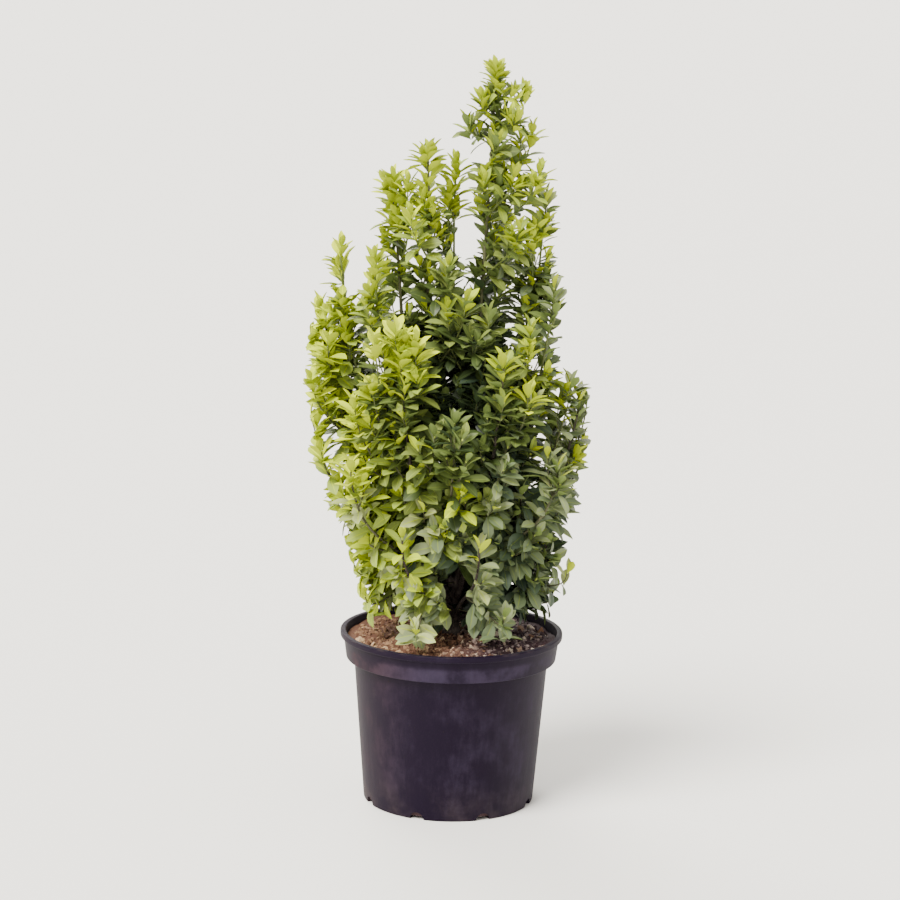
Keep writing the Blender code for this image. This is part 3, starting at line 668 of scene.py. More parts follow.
# Each shoot: its parent, how far along the parent's bare part it leaves, the bare share of its own
# length, and where its topmost leaf points to.
SHOOTS = {
    "leader": ("trunk", 1.0, 0.4, (0.033, 0.0, 0.751)),
    "centre": ("trunk", 0.9, 0.48, (-0.034, -0.012, 0.672)),
    "left": ("trunk", 0.64, 0.52, (-0.07, 0.014, 0.642)),
    "back": ("trunk", 0.8, 0.36, (0.008, 0.092, 0.515)),
    "front_left": ("trunk", 0.52, 0.34, (-0.056, -0.096, 0.48)),
    "front_right": ("trunk", 0.72, 0.36, (0.046, -0.092, 0.476)),
    "back_left": ("trunk", 0.45, 0.38, (-0.082, 0.08, 0.548)),
    "back_right": ("trunk", 0.58, 0.36, (0.084, 0.08, 0.525)),
    "right": ("trunk", 0.44, 0.32, (0.126, -0.018, 0.432)),
    "centre_twin": ("centre", 0.76, 0.34, (-0.004, 0.026, 0.658)),
    "right_spire": ("leader", 0.64, 0.34, (0.087, 0.008, 0.627)),
    "back_spire": ("leader", 0.8, 0.28, (0.042, 0.062, 0.612)),
    "right_shoulder": ("leader", 0.34, 0.36, (0.096, -0.04, 0.543)),
    "left_shoulder": ("left", 0.68, 0.22, (-0.12, -0.004, 0.576)),
    "front_shoulder": ("left", 0.52, 0.34, (-0.084, -0.048, 0.57)),
    "far_left": ("left", 0.36, 0.28, (-0.142, 0.016, 0.514)),
    "front": ("front_right", 0.6, 0.22, (-0.002, -0.116, 0.42)),
    "low_left": ("left", 0.17, 0.22, (-0.142, -0.024, 0.4)),
    "low_right": ("right", 0.56, 0.2, (0.1335, 0.028, 0.384)),
    "low_front_left": ("front_left", 0.5, 0.2, (-0.104, -0.088, 0.372)),
    "low_front_right": ("front_right", 0.34, 0.22, (0.102, -0.084, 0.374)),
    "low_back_left": ("back_left", 0.44, 0.22, (-0.108, 0.08, 0.385)),
    "low_back_right": ("back_right", 0.44, 0.22, (0.1, 0.09, 0.378)),
    "low_back": ("back", 0.38, 0.22, (-0.006, 0.122, 0.382)),
    "foot_front_left": ("trunk", 0.3, 0.0, (-0.052, -0.082, 0.3)),
    "foot_front_right": ("trunk", 0.34, 0.0, (0.026, -0.094, 0.296)),
    "foot_right": ("trunk", 0.27, 0.0, (0.096, -0.03, 0.292)),
    "foot_left": ("trunk", 0.27, 0.0, (-0.096, -0.006, 0.3)),
    "foot_back_left": ("trunk", 0.28, 0.0, (-0.046, 0.086, 0.3)),
    "foot_back_right": ("trunk", 0.27, 0.0, (0.058, 0.082, 0.296)),
}


def turn_to(way, side):
    """A unit vector across a direction, as near to side as it can be."""
    return (side - way * side.dot(way)).normalized()


def across(way, turn):
    """A direction across a stem, turned about the stem from its first side."""
    return Quaternion(way, turn) @ turn_to(way, FIRST_SIDE)


def end_ways(spot, way, normal, tip):
    """The directions in which a shoot starts, from a spot on its parent, and ends."""
    outward = Vector((tip.x - spot.x, tip.y - spot.y, 0.0))
    return (normal * START_OUT + way * START_UP).normalized(), (UP + outward * END_OUT).normalized()


def distances(path):
    """How far along a path each of its points is."""
    return np.cumsum([0.0] + [(b - a).length for a, b in zip(path, path[1:])])


def curve_through(start, start_way, end, end_way, count):
    """Points of a cubic curve, evenly spread along its length."""
    span = (end - start).length
    out = start_way * min(START_SWING * span, MOST_SWING)
    handles = (start, start + out, end - end_way * span * END_SWING, end)

    def at(share):
        rest = 1 - share
        weights = (rest**3, 3 * rest**2 * share, 3 * rest * share**2, share**3)
        return sum((h * w for h, w in zip(handles, weights)), Vector((0.0, 0.0, 0.0)))

    fine = [at(i / FINE_STEPS) for i in range(FINE_STEPS + 1)]
    run = distances(fine)
    goals = np.linspace(0.0, run[-1], count + 1)
    axes = [np.interp(goals, run, [spot[axis] for spot in fine]) for axis in range(3)]
    return [Vector(spot) for spot in zip(*axes)]


def along(path, share):
    """The point and direction at a share of a path's points."""
    place = share * (len(path) - 1)
    low = min(int(place), len(path) - 2)
    spot = path[low].lerp(path[low + 1], place - low)
    return spot, (path[low + 1] - path[low]).normalized()


def path_length(path):
    return sum((b - a).length for a, b in zip(path, path[1:]))


def trunk_radius(share):
    return float(np.interp(share * TRUNK_LENGTH, TRUNK_HEIGHTS, TRUNK_RADII))


def plan_shoot(name, shoots):
    """Works out a shoot's curve and thickness from its row, on a parent that is already planned."""
    parent_name, leaves_at, bare_share, tip = SHOOTS[name]
    parent = shoots[parent_name]
    spot, way = along(parent["bare"], leaves_at)
    tip = Vector(tip)
    thick = parent["radius"](leaves_at)
    normal = way if leaves_at == 1.0 else turn_to(way, tip - spot)
    start = spot + normal * (SOIL_GAP if leaves_at == 1.0 else thick + SOIL_GAP)
    start_way, end_way = end_ways(spot, way, normal, tip)
    end = tip - end_way * TIP_REACH
    by_length = BOUGH_LEAST + BOUGH_PER_LENGTH * (end - start).length
    base_radius = max(BOUGH_THINNEST, min(thick * BOUGH_SHARE, by_length))
    split_radius = base_radius + (TIP_RADIUS - base_radius) * bare_share
    path = curve_through(start, start_way, end, end_way, CURVE_STEPS)
    split = round(CURVE_STEPS * bare_share)
    return {
        "fork": spot,
        "path": path + [end + UP * TIP_GROWTH * step / TIP_STEPS for step in range(1, TIP_STEPS + 1)],
        "bare": path[: split + 1],
        "base_radius": base_radius,
        "radius": lambda share: base_radius + (split_radius - base_radius) * share,
    }


foot = Vector((0.0, 0.0, SOIL_TOP))
trunk_path = [foot + TRUNK_LEAN * (TRUNK_LENGTH * i / TRUNK_STEPS) for i in range(TRUNK_STEPS + 1)]
shoots = {"trunk": {"bare": trunk_path, "radius": trunk_radius}}
for name in SHOOTS:
    shoots[name] = plan_shoot(name, shoots)

limb_sizes = dict.fromkeys(("Ring spacing", "Ridge height", "Ridge size"), "Float")
limb_shape = Shape("limbs", {"Sides": "Int", **limb_sizes})
given = limb_shape.given
lines = limb_shape.node("GeometryNodeMeshToCurve", {}, {"Mesh": given["Geometry"]})
lines = {"Curve": lines, "Length": given["Ring spacing"]}
ring = {"Resolution": given["Sides"], "Radius": 1.0}
thickness = {"Name": "thickness"}
thickness = limb_shape.node("GeometryNodeInputNamedAttribute", {"data_type": "FLOAT"}, thickness)
tubes = {
    "Curve": limb_shape.node("GeometryNodeResampleCurve", {"mode": "LENGTH"}, lines),
    "Profile Curve": limb_shape.node("GeometryNodeCurvePrimitiveCircle", {}, ring),
    "Scale": thickness,
    "Fill Caps": True,
}
tubes = limb_shape.node("GeometryNodeCurveToMesh", {}, tubes)
where = {0: limb_shape.node("GeometryNodeInputPosition")}
x, y, z = limb_shape.node("ShaderNodeSeparateXYZ", {}, where, (0, 1, 2))
# The ridges are drawn out along the wood, and the knots are round and four times as large.
ridges = limb_shape.noise(limb_shape.vector(x, y, z * 0.22), 1 / given["Ridge size"], 3.0, 0.6) - 0.5
knots = limb_shape.noise(limb_shape.vector(x, y, z), 0.25 / given["Ridge size"], 1.0) - 0.5
raised = (ridges * 1.3 + knots) * given["Ridge height"] * thickness
outward = {0: limb_shape.node("GeometryNodeInputNormal"), "Scale": raised}
outward = limb_shape.node("ShaderNodeVectorMath", {"operation": "SCALE"}, outward)
raised = {"Geometry": tubes, "Offset": outward}
limb_shape.finish(limb_shape.node("GeometryNodeSetPosition", {}, raised), True)


def lines_mesh(name, lines):
    """A mesh of open lines from lists of (path, radii), with each point's thickness."""
    points, edges, radii = [], [], []
    for path, sizes in lines:
        first = len(points)
        points += [tuple(spot) for spot in path]
        edges += [(first + i, first + i + 1) for i in range(len(path) - 1)]
        radii += list(sizes)
    mesh = bpy.data.meshes.new(name)
    mesh.from_pydata(points, edges, [])
    mesh.attributes.new("thickness", "FLOAT", "POINT").data.foreach_set("value", radii)
    return mesh


def limb_inputs(sides, spacing, height, size, material):
    """What the wood is made with: sides, ring spacing, and the height and size of its ridges."""
    sizes = dict(zip(limb_sizes, (spacing, height, size)))
    return {"Sides": sides, **sizes, "Material": material}


def limb_line(shoot):
    """A shoot's whole curve, set into its parent with a collar, and how thick it is along it."""
    path = [shoot["fork"].lerp(shoot["path"][0], FORK_SET_IN)] + shoot["path"]
    base = shoot["base_radius"]
    run = distances(path)
    plain = base + (TIP_RADIUS - base) * run / run[-1]
    return path, plain * (1.0 + COLLAR * np.exp(-run / (COLLAR_LENGTH * base)))


old_bark = Finish("bark", {"Specular IOR Level": 0.3})
bark_place = old_bark.vector(old_bark.x, old_bark.y, old_bark.z * 0.16)
furrows = old_bark.noise(bark_place, 900.0, 5.0, 0.65)
bark_patches = old_bark.noise(old_bark.place, 70.0, 3.0)
bark_colour = old_bark.mix(old_bark.step(furrows, 0.38, 0.62), OLD_BARK_DARK, OLD_BARK)
bark_colour = old_bark.mix(old_bark.step(bark_patches, 0.52, 0.72) * 0.6, bark_colour, OLD_BARK_PALE)
young_part = old_bark.step(old_bark.z + bark_patches * 0.08, 0.38, 0.56)
bark_colour = old_bark.mix(young_part * 0.8, bark_colour, OLIVE_BARK)
old_bark.drive("Base Color", bark_colour)
old_bark.drive("Roughness", 0.88 - 0.2 * young_part)
old_bark.bump(furrows, 0.0007, 0.9)

olive = Finish("green_bark", {"Specular IOR Level": 0.4})
olive_place = olive.vector(olive.x, olive.y, olive.z * 0.2)
lines_in_bark = olive.noise(olive_place, 1100.0, 4.0, 0.6)
ageing = olive.noise(olive.place, 45.0, 2.0)
fresh = olive.step(olive.z + ageing * 0.1, 0.36, 0.62)
olive_colour = olive.mix(olive.step(lines_in_bark, 0.36, 0.64), OLIVE_DARK, OLIVE_BARK)
olive_colour = olive.mix(fresh * 0.75, olive_colour, GREEN_BARK)
olive.drive("Base Color", olive_colour)
olive.drive("Roughness", 0.72 - 0.2 * fresh)
olive.bump(lines_in_bark, 0.0004, 0.7)

on_trunk = [name for name in SHOOTS if SHOOTS[name][0] == "trunk"]
on_boughs = [name for name in SHOOTS if SHOOTS[name][0] != "trunk"]
flare = [trunk_radius(i / TRUNK_STEPS) * (1 + TRUNK_UNEVEN * math.sin(i)) for i in range(TRUNK_STEPS + 1)]
trunk_line = ([foot - TRUNK_LEAN * TRUNK_SUNK] + trunk_path, [flare[0]] + flare)
wood = limb_shape.run(
    "trunk_and_boughs",
    lines_mesh("wood", [trunk_line] + [limb_line(shoots[name]) for name in on_trunk]),
    limb_inputs(16, 0.0019, 0.3, 0.0016, old_bark.material),
)
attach(wood, "root")
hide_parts("trunk", *("bough_" + name for name in on_trunk if SHOOTS[name][2]))

limbs = limb_shape.run(
    "green_limbs",
    lines_mesh("limbs", [limb_line(shoots[name]) for name in on_boughs]),
    limb_inputs(12, 0.002, 0.22, 0.0012, olive.material),
)
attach(limbs, "root")
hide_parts(*("bough_" + name for name in on_boughs))


# Twigs
# Each shoot bears twigs in opposite pairs, as euonymus does, each pair a quarter turn from the last.
# They start green and square at the shoot, bend upwards to the light, and end in a pointed bud.

CROWN_DEPTH = 0.94
# The crown's outline from the front: the height, and how far leaves reach to the left and to the right.
CROWN = (
    (0.178, -0.092, 0.092),
    (0.217, -0.094, 0.108),
    (0.247, -0.1, 0.117),
    (0.277, -0.112, 0.125),
    (0.307, -0.132, 0.133),
    (0.333, -0.126, 0.131),
    (0.359, -0.148, 0.142),
    (0.385, -0.134, 0.143),
    (0.403, -0.152, 0.132),
    (0.422, -0.149, 0.133),
    (0.444, -0.147, 0.125),
    (0.463, -0.148, 0.113),
    (0.496, -0.14, 0.098),
    (0.518, -0.155, 0.105),
    (0.537, -0.14, 0.108),
    (0.56, -0.128, 0.094),
    (0.585, -0.12, 0.097),
    (0.615, -0.1, 0.104),
    (0.64, -0.082, 0.094),
    (0.69, -0.03, 0.082),
    (0.755, 0.01, 0.056),
)
CROWN_TOP = CROWN[-1][0]
# How uneven the crown's outline is, how finely, and by how much more it is drawn in than out.
CROWN_UNEVEN = 0.16
CROWN_LUMPS = 30
CROWN_DRAWN_IN = 0.35
SIDE_REACH = 0.004
BOX_CLEAR = 0.0014
SOIL_CLEAR = 0.0015
RIM_CLEAR = 0.0022
RIM_MARGIN = 0.0069
CLEAR_RADIUS = BAND_TOP_RADIUS - WALL - RIM_MARGIN
# Open places in the front view: where they are in x and z, half their width and height, and how far
# back they reach. The last one shows the dark foot of the plant, and the others show sky.
OPENINGS = (
    (0.006, 0.573, 0.013, 0.018, 0.2),
    (0.022, 0.655, 0.006, 0.01, 0.2),
    (0.004, 0.612, 0.004, 0.007, 0.2),
    (0.002, 0.524, 0.007, 0.009, 0.2),
    (-0.103, 0.536, 0.012, 0.017, 0.2),
    (-0.049, 0.567, 0.006, 0.009, 0.2),
    (-0.06, 0.503, 0.006, 0.008, 0.2),
    (-0.077, 0.447, 0.006, 0.012, 0.2),
    (0.079, 0.556, 0.004, 0.016, 0.2),
    (0.076, 0.45, 0.005, 0.01, 0.2),
    (0.006, 0.205, 0.011, 0.03, -0.01),
)
OPENING_UNEVEN = 0.7
OPENING_LUMPS = 60
SEED = 20
NODE_SPACING = 0.0165
# Each of these is a value at the foot of the crown, and the one at its top.
TWIG_LENGTHS = (0.049, 0.027)
TWIG_CHANCES = (0.72, 0.78)
TWIG_ANGLES = (50, 30)
LEAF_LENGTHS = (0.0325, 0.0225)
LEAF_WIDTHS = (0.54, 0.45)
TWIG_RADIUS = 0.00075
TWIG_STEPS = 6
SIDE_TWIG_STEPS = 12
# A twig that has no room is tried at these shares of its length. It needs some room beyond its tip.
TWIG_TRIES = (1.0, 0.72, 0.5)
TWIG_ROOM = 0.014
# Twigs spread widely below the first of these heights, and not above the second.
SPREAD_HEIGHTS = (0.2, 0.34)
# A twig that is long enough bears twigs of its own: where, how long, and how thick, as shares of its own.
TWIGLET_FROM = 0.044
TWIGLETS_AT = (0.3, 0.55)
TWIGLET_SHARE = 0.5
SIDE_TWIGLET_SHARE = 0.35
TWIGLET_RADIUS = 0.8
# Shoots that end above this height bear twigs and leaves from further up their bare part than the others.
TALL_SHOOT = 0.45
TALL_FROM = (0.5, 1.0)
LOW_FROM = (0.3, 0.4)
# Above this height, the twigs are fewer and shorter on this last part of a shoot.
SPIRE_HEIGHT = 0.4
SPIRE_LENGTH = 0.085
SPIRE_CHANCE = 0.75
LEAF_PITCH = 0.009
# On stems as long as this, the greens change after so many pairs of leaves.
LONG_STEM = 0.07
SPRAY_PAIRS = 4
# A leaf that has no room is tried at these shares of its angle and of its length.
LEAF_TRIES = ((1.0, 1.0), (0.78, 0.92), (1.2, 0.86), (0.6, 0.78))
# How far out of the crown leaves may reach: full-grown ones, younger ones, and any beyond its own stem.
LEAF_REACH = 1.03
YOUNG_REACH = 1.12
STEM_REACH = 0.24
YOUNG_AGE = 0.4
# Leaves droop below the first of these heights, and not above the second.
DROOP_HEIGHTS = (0.22, 0.42)
DROOP = 0.65
# How much leaves' directions and faces vary, and how far out the light comes from that they turn to.
LEAF_SWAY = 0.15
FACE_SWAY = 0.3
LIGHT_OUT = 4.0
# How close together leaves are: at the foot of the crown, at its top, and the youngest ones at a tip.
SPACING = 0.0064
TOP_SPACING = 0.0046
TIP_SPACING = 0.0028
TIP_AGE = 0.3
# The leaf pairs of a growing tip: how far back, the quarter turns, the angle low down and at the top
# of the crown, the share of a full leaf's length, and the age.
TIP_PAIRS = (
    (0.0105, 0, 64, 50, 0.96, 0.44),
    (0.0065, 1, 54, 38, 0.88, 0.3),
    (0.003, 2, 38, 24, 0.78, 0.15),
    (0.0, 3, 20, 10, 0.66, 0.0),
)
# Parts of the crown that are lighter or darker: by how much, from where towards the right, from what height
# and up to what height. Each change is gradual, between two places.
ANYWHERE = (-2.0, -1.0)
# Of these, the darker parts on the right edge high up, at the foot of the crown and low on the right are
# painted shade.
TONE_PARTS = (
    (-0.11, ANYWHERE, (0.66, 0.69), (0.725, 0.745)),
    (-0.12, (0.06, 0.09), (0.46, 0.5), (0.6, 0.64)),
    (0.09, (0.04, 0.07), (0.33, 0.37), (0.43, 0.46)),
    (-0.09, ANYWHERE, ANYWHERE, (0.21, 0.25)),
    (-0.03, (0.0, 0.04), ANYWHERE, (0.32, 0.38)),
)
# The share of bright sprays among the outer ones half way up, and how much lighter they are.
BRIGHT_SHARE = 0.14
BRIGHTER = 0.2
# Shoots that end in lighter or darker leaves than those around them: by how much, and from what height.
FRESH_AND_SHADED_SHOOTS = {
    "leader": (0.28, 0.728),
    # The front shoot's leaves are darker, as painted shade.
    "front": (-0.12, 0.36),
    "front_left": (0.22, 0.445),
    "front_right": (0.14, 0.43),
    "low_left": (0.14, 0.36),
    "low_front_left": (0.04, 0.33),
    "far_left": (0.1, 0.44),
}
# How far below its tip the leaves of a lighter side twig are lighter.
LIGHTER_LENGTH = 0.06
# Long side twigs, in the crown's outline and within it, on each shoot: how far along it they leave,
# their tip, and how much lighter their leaves are, where they are.
SIDE_TWIGS = {
    "leader": (
        (0.92, 0.063, -0.006, 0.727), (0.9, 0.018, -0.01, 0.722), (0.87, 0.052, -0.022, 0.706),
        (0.83, 0.005, -0.008, 0.7), (0.72, 0.07, 0.004, 0.694), (0.8, 0.036, -0.026, 0.684),
        (0.66, 0.078, -0.012, 0.655), (0.78, 0.022, -0.024, 0.644), (0.7, 0.052, -0.024, 0.652),
        (0.74, 0.034, 0.026, 0.668), (0.58, 0.058, -0.03, 0.6), (0.3, 0.03, -0.062, 0.516),
        (0.24, 0.004, -0.04, 0.44), (0.26, 0.026, -0.052, 0.452), (0.36, -0.01, -0.044, 0.506),
        (0.33, 0.064, -0.036, 0.476), (0.4, 0.034, 0.048, 0.5),
    ),
    "centre_twin": ((0.55, -0.012, 0.01, 0.63),),
    "right_spire": (
        (0.62, 0.074, -0.008, 0.6), (0.45, 0.086, 0.0, 0.57), (0.4, 0.068, 0.018, 0.566),
    ),
    "centre": (
        (0.74, -0.048, -0.034, 0.61), (0.62, -0.01, -0.05, 0.565), (0.46, 0.008, -0.062, 0.532, 0.2),
        (0.3, -0.012, -0.03, 0.43), (0.34, -0.034, -0.05, 0.462), (0.44, -0.02, 0.044, 0.5),
    ),
    "left": (
        (0.78, -0.052, 0.0, 0.64), (0.4, -0.072, -0.048, 0.482),
    ),
    "far_left": (
        (0.84, -0.131, 0.0, 0.506, 0.1), (0.76, -0.147, 0.008, 0.49, 0.1), (0.52, -0.11, -0.006, 0.51),
        (0.4, -0.144, -0.014, 0.444, 0.1), (0.66, -0.128, -0.02, 0.486, 0.1),
    ),
    "right": (
        (0.62, 0.112, -0.034, 0.45), (0.3, 0.066, 0.004, 0.385),
    ),
    "low_right": ((0.56, 0.131, -0.004, 0.43),),
    "right_shoulder": ((0.5, 0.07, -0.06, 0.505),),
    "foot_front_left": ((0.36, -0.036, -0.091, 0.214),),
    "foot_front_right": ((0.4, 0.052, -0.09, 0.226),),
    "foot_left": (
        (0.46, -0.1, -0.024, 0.262), (0.34, -0.088, -0.036, 0.232),
    ),
    "foot_right": (
        (0.44, 0.116, -0.026, 0.258), (0.32, 0.104, 0.008, 0.23), (0.4, 0.066, -0.048, 0.345),
    ),
    "front_left": (
        (0.72, -0.08, -0.088, 0.494), (0.8, -0.06, -0.092, 0.507), (0.76, -0.04, -0.094, 0.494),
        (0.6, -0.082, -0.09, 0.456), (0.48, -0.02, -0.1, 0.405), (0.44, -0.1, -0.078, 0.432, 0.3),
    ),
    "front_right": ((0.6, 0.07, -0.084, 0.448),),
}


def by_height(height, low, top):
    """A value that changes evenly from the foot of the crown to its top."""
    share = (height - POT_HEIGHT) / (CROWN_TOP - POT_HEIGHT)
    return low + (top - low) * max(0.0, min(1.0, share))


def rise(value, low, high):
    """0 below low, 1 above high, and a smooth rise between them."""
    share = max(0.0, min(1.0, (value - low) / (high - low)))
    return share * share * (3 - 2 * share)


crown_heights, crown_lefts, crown_rights = zip(*CROWN)
box_low, box_high = cad_box


def crown_sides(height):
    """How far the crown reaches to the left and to the right at a height."""
    return np.interp(height, crown_heights, crown_lefts), np.interp(height, crown_heights, crown_rights)


def from_axis(spot):
    """How far out in the crown a point is: 0 on its axis, 1 at its outline."""
    left, right = crown_sides(spot.z)
    sideways = (2 * spot.x - left - right) / (right - left)
    return math.hypot(sideways, 2 * spot.y / (CROWN_DEPTH * (right - left)))


def in_opening(spot):
    """True in an open place, looking in from the front and a little down as the camera does."""
    edge = 1.0 + OPENING_UNEVEN * noise.noise(spot * OPENING_LUMPS)
    for x, z, wide, high, back in OPENINGS:
        seen_at = z + (z - CAMERA_PLACE.z) * spot.y / abs(CAMERA_PLACE.y)
        if spot.y < back and math.hypot((spot.x - x) / wide, (spot.z - seen_at) / high) < edge:
            return True
    return False


def has_room(spots, reach):
    """True where all the points are in the crown, outside its openings, and clear of the soil and the pot."""
    for spot in spots:
        uneven = reach + CROWN_UNEVEN * (noise.noise(spot * CROWN_LUMPS) - CROWN_DRAWN_IN)
        left, right = crown_sides(spot.z)
        if from_axis(spot) > uneven or in_opening(spot) or spot.z < SOIL_TOP + SOIL_CLEAR:
            return False
        if not left - SIDE_REACH < spot.x < right + SIDE_REACH:
            return False
        edges = zip(box_low, spot, box_high)
        if not all(low + BOX_CLEAR < place < high - BOX_CLEAR for low, place, high in edges):
            return False
        if spot.z < POT_HEIGHT + RIM_CLEAR and math.hypot(spot.x, spot.y) > CLEAR_RADIUS:
            return False
    return True


class Spray:
    """What the leaves of one stem or twig share: how large they are, how light a green, and if it is cool."""

    def __init__(self, slot, chance, vigour, fresh, tip):
        self.slot = slot
        self.chance = chance
        self.vigour = vigour
        self.fresh = fresh
        self.tone, self.cool = spray_green(tip, chance)
        self.tone += fresh[0] * rise(tip.z, fresh[1] - 0.03, fresh[1] + 0.02)


class Growth:
    """Everything that has grown so far: twigs, leaves and buds, and the places that are taken."""

    def __init__(self):
        self.twigs = []
        self.leaves = []
        self.buds = []
        self.taken = {}

    def is_taken(self, spot, spacing):
        """True where a leaf is closer to a point than the spacing."""
        cells = itertools.product(*(range(cell - 1, cell + 2) for cell in cell_of(spot)))
        near = (other for cell in cells for other in self.taken.get(cell, ()))
        return any((other - spot).length < spacing for other in near)

    def add_leaf(self, spray, spot, way, turn, angle, length, age):
        """Puts a leaf on a stem. It tries other angles and a shorter leaf before it gives up."""
        chance = spray.chance
        out = across(way, turn)
        low = 1.0 - rise(spot.z, *DROOP_HEIGHTS)
        light = (Vector((spot.x, spot.y, 0.0)) * LIGHT_OUT + UP).normalized()
        length *= spray.vigour
        spacing = TIP_SPACING
        if age > TIP_AGE:
            spacing = by_height(spot.z, SPACING, TOP_SPACING) * (0.55 + 0.45 * age)
        reach_out = max(LEAF_REACH if age > YOUNG_AGE else YOUNG_REACH, from_axis(spot) + STEM_REACH)
        for steeper, shorter in LEAF_TRIES:
            lean = angle * steeper
            reach = way * math.cos(lean) + out * math.sin(lean)
            reach = (reach - UP * DROOP * low * age + chance_vector(chance) * LEAF_SWAY).normalized()
            size = length * shorter
            face = way * math.sin(lean) - out * math.cos(lean)
            face = face.lerp(light, 0.25 + 0.35 * low * age)
            face = turn_to(reach, face + chance_vector(chance) * FACE_SWAY)
            side = reach.cross(face)
            slim = by_height(spot.z, *LEAF_WIDTHS) * (0.78 + 0.22 * age)
            width = size * slim * chance.uniform(0.88, 1.12)
            curl = 0.13 + 0.17 * age + chance.uniform(-0.06, 0.1)
            middle = spot + reach * size * 0.55
            tip = spot + reach * size - face * size * curl
            edges = (tip, middle + side * width / 2, middle - side * width / 2)
            if not has_room(edges, reach_out) or self.is_taken(middle, spacing):
                continue
            self.taken.setdefault(cell_of(middle), []).append(middle)
            fold = 0.34 + 0.3 * (1 - age) + chance.uniform(-0.08, 0.08)
            tone = spray.tone + (1 - age) * (0.24 if spray.cool else 0.34) + chance.uniform(-0.08, 0.08)
            row = (*spot, *reach, *side, *face, size, width, fold, curl, chance.uniform(0, FULL_TURN))
            self.leaves.append((spray.slot, tone, spray.cool, row))
            return

    def add_pair(self, spray, spot, way, turn, angle, length, age):
        for half in (0.0, math.pi):
            swing = turn + half + spray.chance.uniform(-0.18, 0.18)
            lean = angle * spray.chance.uniform(0.85, 1.15)
            self.add_leaf(spray, spot, way, swing, lean, length * spray.chance.uniform(0.86, 1.1), age)

    def add_tip(self, spray, spot, way, turn, length):
        """The young leaves that stand round a growing tip, and its bud."""
        for back, quarter, low, top, share, age in TIP_PAIRS:
            angle = math.radians(by_height(spot.z, low, top))
            place = spot - way * back * by_height(spot.z, 2.2, 1.0)
            self.add_pair(spray, place, way, turn + quarter * math.pi / 2, angle, length * share, age)
        self.buds.append((spot, way, spray.chance.uniform(0.8, 1.2)))

    def add_leaves(self, spray, path, turn, first, pitch):
        """Opposite pairs of leaves along a path, closer together towards its tip."""
        length = path_length(path)
        place = first
        pairs = 0
        tip_spray = spray
        while place < length - 0.006:
            share = place / length
            spot, way = along(path, share)
            if length > LONG_STEM and pairs % SPRAY_PAIRS == 0:
                spray = Spray(spray.slot, spray.chance, spray.vigour, spray.fresh, spot)
            pairs += 1
            age = 1.0 - 0.75 * share
            size = by_height(spot.z, *LEAF_LENGTHS) * (0.78 + 0.22 * age)
            angle = math.radians(38 + by_height(spot.z, 44, 26) * age)
            self.add_pair(spray, spot, way, turn, angle, size, age)
            turn += math.pi / 2
            place += pitch * (1.2 - 0.55 * share)
        spot, way = along(path, 1.0)
        self.add_tip(tip_spray, spot, way, turn, by_height(spot.z, *LEAF_LENGTHS))

    def add_twig(self, spray, spot, way, turn, length, radius):
        """A twig that bends up to the light. It tries to be shorter before it gives up."""
        chance = spray.chance
        out = across(way, turn)
        low = 1.0 - rise(spot.z, *SPREAD_HEIGHTS)
        heading = math.radians(by_height(spot.z, *TWIG_ANGLES))
        heading = (way * math.cos(heading) + out * math.sin(heading)).normalized()
        outward = Vector((spot.x, spot.y, 0.0)).normalized() if spot.xy.length > 0.01 else out
        outward = outward * (by_height(spot.z, 0.45, 0.1) + 0.4 * low)
        for shorter in TWIG_TRIES:
            goal = UP * (1.0 - 0.5 * low) + outward + chance_vector(chance) * 0.22
            goal.normalize()
            path = [spot.copy()]
            for step in range(TWIG_STEPS):
                bend = (step + 0.5) / TWIG_STEPS * 0.9
                path.append(path[-1] + heading.lerp(goal, bend).normalized() * length * shorter / TWIG_STEPS)
            spots = (path[-1] + goal * TWIG_ROOM, path[TWIG_STEPS // 2])
            if has_room(spots, max(1.0, from_axis(spot) + 0.12)):
                break
        else:
            return
        twig = Spray(spray.slot, chance, 0.97, spray.fresh, path[-1])
        radii = [radius * (1.25 - 0.45 * step / TWIG_STEPS) for step in range(TWIG_STEPS + 1)]
        self.twigs.append((path, radii))
        turn = chance.uniform(0, math.pi)
        self.add_leaves(twig, path, turn, 0.007, LEAF_PITCH * by_height(spot.z, 1.2, 0.9))
        if length * shorter > TWIGLET_FROM:
            self.add_twiglets(twig, path, length * shorter * TWIGLET_SHARE, radius * TWIGLET_RADIUS)

    def add_twiglets(self, spray, path, length, radius):
        """The short twigs that a longer one bears."""
        for share in TWIGLETS_AT:
            spot, way = along(path, share)
            self.add_twig(spray, spot, way, spray.chance.uniform(0, FULL_TURN), length, radius)


def cell_of(spot):
    """The small cube of space that a point is in, by whole numbers."""
    return tuple(int(c // SPACING) for c in spot)


def chance_vector(chance):
    return Vector((chance.uniform(-1, 1), chance.uniform(-1, 1), chance.uniform(-1, 1)))


